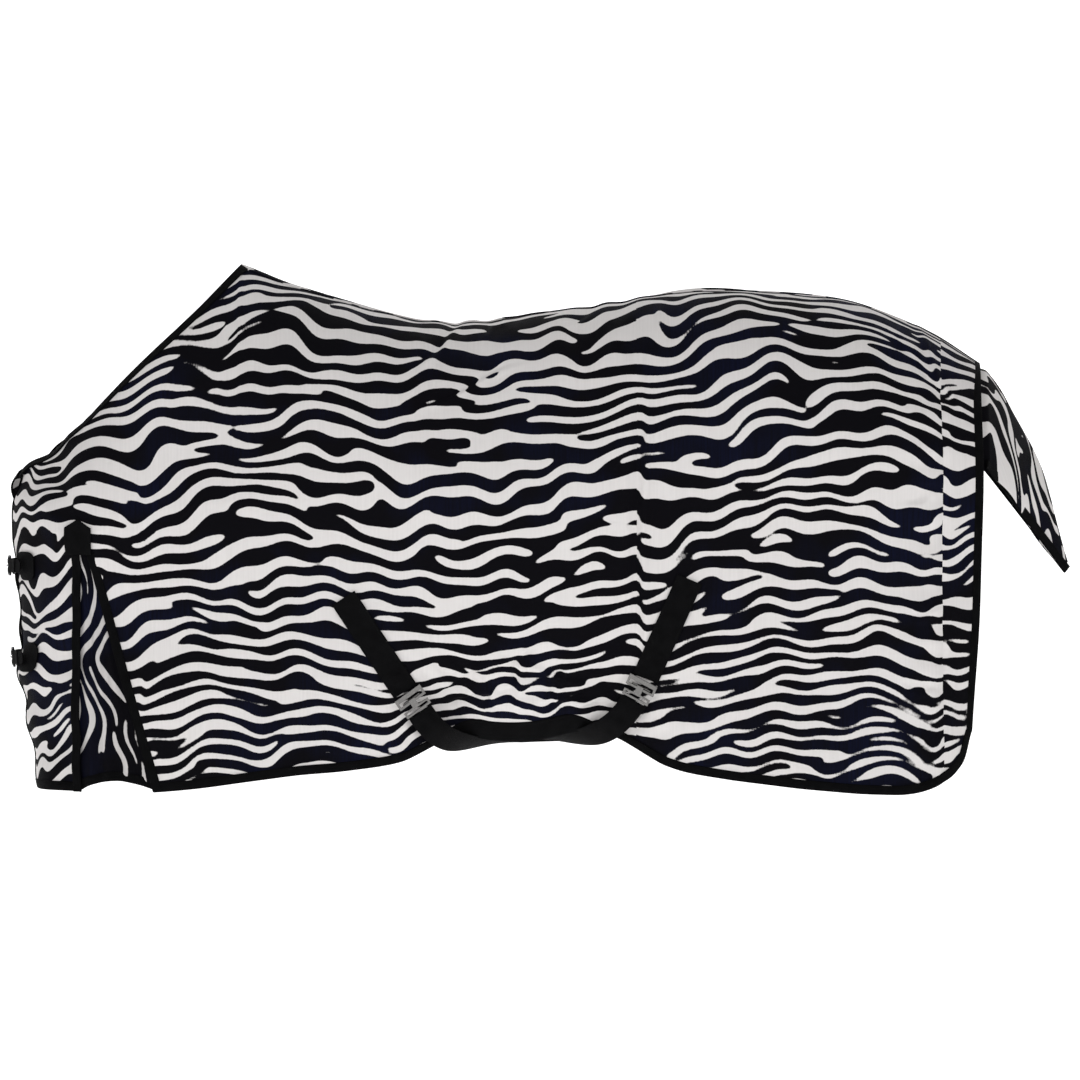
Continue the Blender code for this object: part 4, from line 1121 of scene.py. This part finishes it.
def surface_tape(name, s, d, side, inward=1.0, rise=0.0, widen=1.0):
    """A binding along the path of (s, d) pairs; its cloth lies to the inward side."""
    props = settings()
    path = cloth_at(s, d, side, rise)
    normal = facing(s, d, side)
    _, across = directions(path, normal)
    profile = tape_profile(props.binding_width, props.binding_thickness)
    return sweep(name, path, normal, across * inward, profile, widen)


def finish_tape(obj, body, nodes, blend=None):
    return finish_piece(obj, tape_material(settings()), body, nodes, blend)


def neck_and_hem_tapes(word, side):
    """The bindings of the neck and of the hem with the rear edge, which is one tape; at the belly it widens
    into a band that is partly painted shade.
    """
    s = np.linspace(0.021, S_WITHERS - 0.0005, 120)
    obj = surface_tape(f"{word}_neck_tape", s, 0.0 * s, side, inward=side)
    finish_tape(obj, SHEET, [f"{word}_neck_binding"])
    hem_s = np.linspace(S_FOOT + 0.0006, S_END, 330)
    hem_d = drop(hem_s)
    rear_d = np.linspace(hem_d[-1], 0.006, 160)[1:]
    path_s = np.concatenate([hem_s, np.full_like(rear_d, S_END)])
    path_d = np.concatenate([hem_d, rear_d])
    x = np.interp(path_s, PLAN_FAR, PLAN_X)
    # At the belly the tape widens; the extra width is painted shade in the binding's black
    shade_band = ease((x - BELLY_SHADE_BAND[0]) / 0.07) * ease((BELLY_SHADE_BAND[1] - x) / 0.07)
    widen = 1.0 + (BELLY_SHADE_BAND_W / settings().binding_width - 1.0) * shade_band
    obj = surface_tape(f"{word}_hem_tape", path_s, path_d, side, inward=-side, widen=widen)
    finish_tape(obj, SHEET, [f"{word}_hem_binding", f"{word}_rear_binding"])


def gusset_tapes(word, side):
    """The strip down the gusset's rear edge and the binding of its arched hem."""
    w = np.linspace(0.09, 1.0, 90)
    strip_s = mix(S_SLIT, S_FOOT, w)
    strip_d = mix(drop_to(strip_s, SLIT_Z), drop(strip_s), w)
    obj = surface_tape(f"{word}_gusset_tape", strip_s, strip_d, side, inward=-side)
    finish_tape(obj, SHEET, [f"{word}_gusset_binding"])
    low = float(smooth(HEM_Z, SLIT_FOOT_X))
    across = np.linspace(0.02, 0.98, 50)
    z = low + 0.020 * np.sin(np.pi * across) + 0.001
    first, last = gusset_span(z)
    arch_s = mix(first, last, across)
    obj = surface_tape(f"{word}_gusset_hem_tape", arch_s, drop_to(arch_s, z), side, inward=-side,
                       rise=gusset_rise(across, 1.0))
    finish_tape(obj, SHEET, [f"{word}_gusset_hem_binding"],
                blend=(SHEET, APRON, (SLIT_FOOT_X, 0, SLIT_Z), (SLIT_X - 0.012, 0, SLIT_Z)))


def flap_tapes(word, side):
    """The bindings of a chest flap: along the slit, the hem and the front."""
    flap_blend = (SHEET, APRON, (SLIT_X, 0, SLIT_Z), (SLIT_X, 0, SLIT_Z - 0.10))
    slit_s = S_SLIT - 0.0045
    down = np.linspace(float(drop_to(slit_s, SLIT_Z - 0.004)[0]), float(drop(slit_s)[0]), 90)
    obj = surface_tape(f"{word}_flap_slit_tape", np.full_like(down, slit_s), down, side, inward=side)
    finish_tape(obj, APRON, [f"{word}_flap_slit_binding"], blend=flap_blend)
    hem_s = np.linspace(0.002, slit_s - 0.001, 60)
    obj = surface_tape(f"{word}_flap_hem_tape", hem_s, drop(hem_s), side, inward=-side)
    finish_tape(obj, APRON, [f"{word}_flap_hem_binding"])
    front_s = 0.0012
    down = np.linspace(0.0020, float(drop(front_s)[0]), 100)
    obj = surface_tape(f"{word}_flap_front_tape", np.full_like(down, front_s), down, side, inward=-side)
    finish_tape(obj, APRON, [f"{word}_flap_front_binding"], blend=flap_blend)


def tail_flap_tape(word, side):
    props = settings()
    path = tail_edge(side)
    inner = tail_surface(np.full(60, side * 0.9), np.linspace(0.0, 1.0, 60))
    normal = np.cross(np.gradient(path, axis=0), inner - path) * side
    normal /= np.linalg.norm(normal, axis=-1, keepdims=True)
    _, across = directions(path, normal)
    toward = np.sign(np.sum(across * (inner - path), axis=-1, keepdims=True))
    obj = sweep(f"{word}_tail_flap_tape", path, normal, across * toward,
                tape_profile(props.binding_width, props.binding_thickness))
    finish_tape(obj, TAIL, [f"{word}_tail_flap_binding"],
                blend=(SHEET, TAIL, (REAR_X, 0, -0.19), (REAR_X + 0.06, 0, -0.19)))


class FLYSHEET_OT_bindings(bpy.types.Operator):
    """Black tape folded over every edge"""
    bl_idname = "flysheet.bindings"
    bl_label = "Bindings"

    def execute(self, context):
        for word, side in SIDES.items():
            neck_and_hem_tapes(word, side)
            gusset_tapes(word, side)
            flap_tapes(word, side)
            tail_flap_tape(word, side)
        return {"FINISHED"}


def side_patch(name, place, n, m, mat, body, node_name, outside, blend=None):
    """A flat sewn piece whose grid points come from place(a, b) with a and b from 0 to 1."""
    points = place(np.linspace(0, 1, n), np.linspace(0, 1, m))
    far_a = length_along(points[:, m // 2])
    far_b = length_along(points[n // 2])
    uv = np.stack(np.broadcast_arrays(far_a[:, None], far_b[None, :]), axis=-1)
    obj = grid(name, points, uv, outside=lambda c: outside)
    thicken(obj, WEBBING_T)
    bevel = obj.modifiers.new("soft_edge", "BEVEL")
    bevel.width = WEBBING_T * 0.3
    bevel.segments = 2
    bevel.limit_method = "ANGLE"
    bevel.angle_limit = math.radians(50)
    return finish_piece(obj, mat, body, [node_name], blend)


def at_height(s, z, side, rise):
    return cloth_at(s, drop_to(s, z), side, rise)


def slit_patch(word, side, mat):
    """The five-sided patch over the top of a slit."""
    middle = S_SLIT - 0.004

    def place(a, b):
        points = np.empty((len(a), len(b), 3))
        across = 2 * a - 1
        for j, share in enumerate(b):
            z = mix(mix(PATCH_PEAK_Z, PATCH_SHOULDER_Z, np.abs(across)), PATCH_FOOT_Z, share)
            points[:, j] = at_height(middle + across * PATCH_W / 2, z, side, 0.0042)
        return points
    side_patch(f"{word}_slit_patch", place, 21, 21, mat, SHEET, f"{word}_gusset_patch", (-0.3, side, 0.0),
               blend=(SHEET, APRON, (SLIT_X, 0, SLIT_Z), (SLIT_X, 0, SLIT_Z - 0.10)))


def strap_patch(level, z0, word, side, mat):
    """The rounded patch that holds a chest strap's end on its flap."""
    def place(a, b):
        points = np.empty((len(a), len(b), 3))
        s = mix(CHEST_PATCH_FROM, CHEST_PATCH_TO, a)
        height = CHEST_PATCH_H * np.sqrt(1.0 - (0.80 * (2 * a - 1) ** 2) ** 2)
        for j, share in enumerate(b):
            points[:, j] = at_height(s, z0 + (share - 0.5) * height, side, 0.0032)
        return points
    side_patch(f"{level}_{word}_strap_patch", place, 25, 17, mat, APRON, f"{level}_{word}_chest_patch",
               (-1.0, side * 0.6, 0.0))


def girth_tab(word, side, end, mat):
    """A tab sewn on the side, from its top to its foot."""
    (top_x, top_z), (foot_x, foot_z) = GIRTH_TABS[end]
    length = math.hypot(foot_x - top_x, foot_z - top_z)
    dx = (foot_x - top_x) / length
    dz = (foot_z - top_z) / length
    half = settings().webbing_width / 2

    def place(along, b):
        points = np.empty((len(along), len(b), 3))
        for j, share in enumerate(2 * b - 1):
            x = top_x + dx * along * length - dz * share * half
            z = top_z + dz * along * length + dx * share * half
            s = np.interp(x, PLAN_X, PLAN_FAR)
            points[:, j] = at_height(s, z, side, TAB_RISE)
        return points
    side_patch(f"{word}_{end}_tab", place, 50, 13, mat, SHEET, f"{word}_{end}_girth_tab", (0.0, side, 0.0))


class FLYSHEET_OT_webbing(bpy.types.Operator):
    """Gusset patches, chest patches and girth tabs"""
    bl_idname = "flysheet.webbing"
    bl_label = "Patches and tabs"

    def execute(self, context):
        props = settings()
        plain = webbing_material(props)
        sewn = webbing_material(props, "sewn_tab_webbing", (props.webbing_width, 0.0035))
        for word, side in SIDES.items():
            slit_patch(word, side, plain)
            for level, z0 in STRAP_LEVELS.items():
                strap_patch(level, z0, word, side, plain)
            for end in GIRTH_TABS:
                girth_tab(word, side, end, sewn)
        return {"FINISHED"}


def unit(v):
    return v / np.linalg.norm(v, axis=-1, keepdims=True)


def chest_line(a, z, rise):
    """Points a round the chest from its middle, towards the near side, at height z and rise off the cloth."""
    s = np.abs(a)
    d = drop_to(s, z)
    side = np.where(a < 0.0, 1.0, -1.0)
    point = bare(s, d) + outward(s, d) * np.broadcast_to(rise, s.shape)[:, None]
    return point * np.stack([np.ones_like(side), side, np.ones_like(side)], axis=-1)


def billet_rise(a):
    """How far the strap stands off the cloth: low to the buckle, then over its bar and down to its tip."""
    over_bar = BUCKLE_RISE + BAR_R + 0.0018
    table = ((-0.140, 0.0058), (-0.060, 0.0055), (BUCKLE_AT - FRAME_L - 0.006, 0.0036),
             (BUCKLE_AT - FRAME_L + 0.006, 0.0036), (BUCKLE_AT - 0.006, over_bar),
             (BUCKLE_AT + 0.006, over_bar), (BUCKLE_AT + 0.026, 0.0085), (BILLET_TIP, 0.0085))
    return smooth(table, a)


def chest_strap(level, z0, props, mat):
    """The strap from the off flap, across the middle and through the buckle, with the tongue's slot."""
    slot = (BUCKLE_AT - 0.014, BUCKLE_AT + 0.007)
    a = np.sort(np.concatenate([np.linspace(BILLET_FROM, BILLET_TIP, 119), slot]))
    rows = np.array([-1.0, -0.8, -0.6, -0.34, 0.0, 0.34, 0.6, 0.8, 1.0])
    half = props.strap_width / 2
    narrowed = half * (1.0 - 0.55 * ease((a - BILLET_TIP + 0.010) / 0.010) ** 2)
    rise = billet_rise(a)
    points = np.stack([chest_line(a, z0 + row * narrowed, rise) for row in rows], axis=1)
    keep = np.ones(points.shape[:2], bool)
    first, last = np.searchsorted(a, slot)
    keep[first:last, 3:5] = False
    uv = np.stack(np.broadcast_arrays(a[:, None] + 0.2, (rows[None, :] + 1.0) * half), axis=-1)
    obj = grid(f"{level}_chest_strap", points, uv, keep=keep, outside=lambda c: (-1.0, 0.0, 0.0))
    thicken(obj, WEBBING_T)
    finish_piece(obj, mat, APRON, [f"{level}_billet"])


def strap_loop(level, z0, props, mat):
    """The loop that holds the strap's free end down."""
    rise = billet_rise(KEEPER_AT)
    origin, beyond = chest_line(np.full(2, KEEPER_AT), z0, rise * np.array([1.0, 1.01]))
    out = unit(beyond - origin)
    along = unit(np.cross(np.array([0.0, 0.0, 1.0]), out))
    up = np.cross(out, along)
    angle = np.linspace(0.0, 2 * np.pi, 49) + 0.13
    across = (props.strap_width / 2 + 0.0022) * np.copysign(np.abs(np.cos(angle)) ** 0.25, np.cos(angle))
    stand = (WEBBING_T / 2 + 0.0019) * np.copysign(np.abs(np.sin(angle)) ** 0.25, np.sin(angle))
    share = np.linspace(-0.5, 0.5, 7) * KEEPER_L
    ring = origin + up * across[:, None] + out * stand[:, None]
    points = ring[:, None, :] + along * share[None, :, None]
    points[-1] = points[0]
    around = length_along(ring)
    uv = np.stack(np.broadcast_arrays(share[None, :] + 0.1, around[:, None]), axis=-1)
    obj = grid(f"{level}_strap_loop", points, uv, weld=True)
    thicken(obj, 0.0012)
    finish_piece(obj, mat, f"{level}_keeper", [f"{level}_keeper"])


def bezier(a, b, c, d, t):
    r = 1.0 - t
    return a * r ** 3 + b * (3 * r * r * t) + c * (3 * r * t * t) + d * t ** 3


def side_point(x, z, side, rise):
    """A point rise outside the plain cloth at x and z."""
    s = np.interp([x], PLAN_X, PLAN_FAR)
    d = drop_to(s, z)
    return ((bare(s, d) + outward(s, d) * rise) * np.array([1.0, side, 1.0]))[0]


def tab_foot(end, side):
    """The foot of a tab: a point on it, and the directions down the strap, across it and out."""
    (top_x, top_z), (foot_x, foot_z) = GIRTH_TABS[end]
    beyond = 1.0 + 0.03 / math.hypot(foot_x - top_x, foot_z - top_z)
    foot = side_point(foot_x, foot_z, side, TAB_RISE)
    down = unit(side_point(mix(top_x, foot_x, beyond), mix(top_z, foot_z, beyond), side, TAB_RISE) - foot)
    out = unit(side_point(foot_x, foot_z, side, 0.02) - foot)
    out = unit(out - down * out.dot(down))
    return foot, down, np.cross(down, out), out


def girth_webbing(end, other, props, mat):
    """The strap from the near clip, under the belly, to the off side's tab at the other end."""
    foot, down, near_across, near_out = tab_foot(end, SIDES["near"])
    start = foot + down * HOOK_END + near_out * HOOK_RISE
    foot, down, off_across, off_out = tab_foot(other, SIDES["off"])
    finish = foot + down * TAB_OVERLAP + off_out * TAB_BEHIND
    middle = np.array([STRAP_CROSSING[0], 0.0, STRAP_CROSSING[1] + STRAP_CROSSING_STEP[end]])
    level = unit((finish - start) * np.array([1.0, 1.0, 0.0])) * STRAP_UNDER
    way = np.array([np.sign(finish[0] - start[0]), 1.0, 1.0])
    leave = start + way * np.array(STRAP_LEAVE)
    arrive = finish - way * np.array(STRAP_ARRIVE) * np.array([1.0, 1.0, -1.0])
    t = np.linspace(0.0, 1.0, 61)[:, None]
    path = np.concatenate([bezier(start, leave, middle - level, middle, t),
                           bezier(middle, middle + level, arrive, finish, t)[1:]])
    far = length_along(path)
    under = (np.minimum(far, far[-1] - far) / far[60])[:, None]
    first = (np.arange(len(path)) <= 60)[:, None]
    turn = np.clip(under * 1.12, 0.0, 1.0) ** 1.25
    normal = mix(np.where(first, near_out, off_out), np.array([0.0, 0.0, -1.0]), turn)
    tangent = unit(np.gradient(path, axis=0))
    held = np.clip(1.0 - under * 2.7, 0.0, 1.0)
    across = unit(mix(unit(np.cross(tangent, normal)), np.where(first, near_across, -off_across), held))
    normal = unit(np.cross(across, tangent))
    obj = sweep(f"{end}_girth_webbing", path, normal, across, flat_profile(props.webbing_width, WEBBING_T))
    finish_piece(obj, mat, SHEET, [f"{end}_girth_strap"])


class FLYSHEET_OT_straps(bpy.types.Operator):
    """The crossed girth straps, the chest straps and their loops"""
    bl_idname = "flysheet.straps"
    bl_label = "Straps"

    def execute(self, context):
        props = settings()
        mat = webbing_material(props)
        girth_webbing("front", "rear", props, mat)
        girth_webbing("rear", "front", props, mat)
        for level, z0 in STRAP_LEVELS.items():
            chest_strap(level, z0, props, mat)
            strap_loop(level, z0, props, mat)
        return {"FINISHED"}


class FLYSHEET_OT_frame_finishes(bpy.types.Operator):
    """Materials for the clips' and buckles' metal, which is the frame's own"""
    bl_idname = "flysheet.frame_finishes"
    bl_label = "Clips and buckles"

    def execute(self, context):
        silver = shared("plated_metal", lambda: metal("plated_metal", (0.20, 0.195, 0.19), 0.26))
        black = shared("coated_metal", lambda: metal("coated_metal", (0.012, 0.012, 0.014), 0.35, 0.8))
        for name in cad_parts:
            obj = bpy.data.objects.get(name)
            if obj is None or obj.hide_render:
                continue
            if "buckle" not in name and "slot_plate" not in name and "t_hook" not in name:
                raise RuntimeError(f"{name} is still showing and has no finish")
            obj.data.materials.clear()
            obj.data.materials.append(black if "buckle" in name else silver)
        return {"FINISHED"}


OPERATORS = (FLYSHEET_OT_stage, FLYSHEET_OT_body_cloth, FLYSHEET_OT_spine_seam, FLYSHEET_OT_chest_flaps,
             FLYSHEET_OT_gussets, FLYSHEET_OT_tail_flap, FLYSHEET_OT_bindings, FLYSHEET_OT_webbing,
             FLYSHEET_OT_straps, FLYSHEET_OT_frame_finishes)


class FLYSHEET_PT_panel(bpy.types.Panel):
    bl_label = "Fly Sheet"
    bl_idname = "FLYSHEET_PT_panel"
    bl_space_type = "VIEW_3D"
    bl_region_type = "UI"
    bl_category = "Fly Sheet"

    def draw(self, context):
        for name in FlySheetSettings.__annotations__:
            self.layout.prop(context.scene.fly_sheet, name)
        for operator in OPERATORS:
            self.layout.operator(operator.bl_idname)


CLASSES = (FlySheetSettings,) + OPERATORS + (FLYSHEET_PT_panel,)


def register():
    for cls in CLASSES:
        bpy.utils.register_class(cls)
    bpy.types.Scene.fly_sheet = PointerProperty(type=FlySheetSettings)


def unregister():
    del bpy.types.Scene.fly_sheet
    for cls in reversed(CLASSES):
        bpy.utils.unregister_class(cls)


def main():
    register()
    bpy.ops.flysheet.stage()
    bpy.ops.flysheet.body_cloth()
    bpy.ops.flysheet.spine_seam()
    bpy.ops.flysheet.chest_flaps()
    bpy.ops.flysheet.gussets()
    bpy.ops.flysheet.tail_flap()
    bpy.ops.flysheet.bindings()
    bpy.ops.flysheet.webbing()
    bpy.ops.flysheet.straps()
    bpy.ops.flysheet.frame_finishes()


if __name__ == "__main__":
    main()
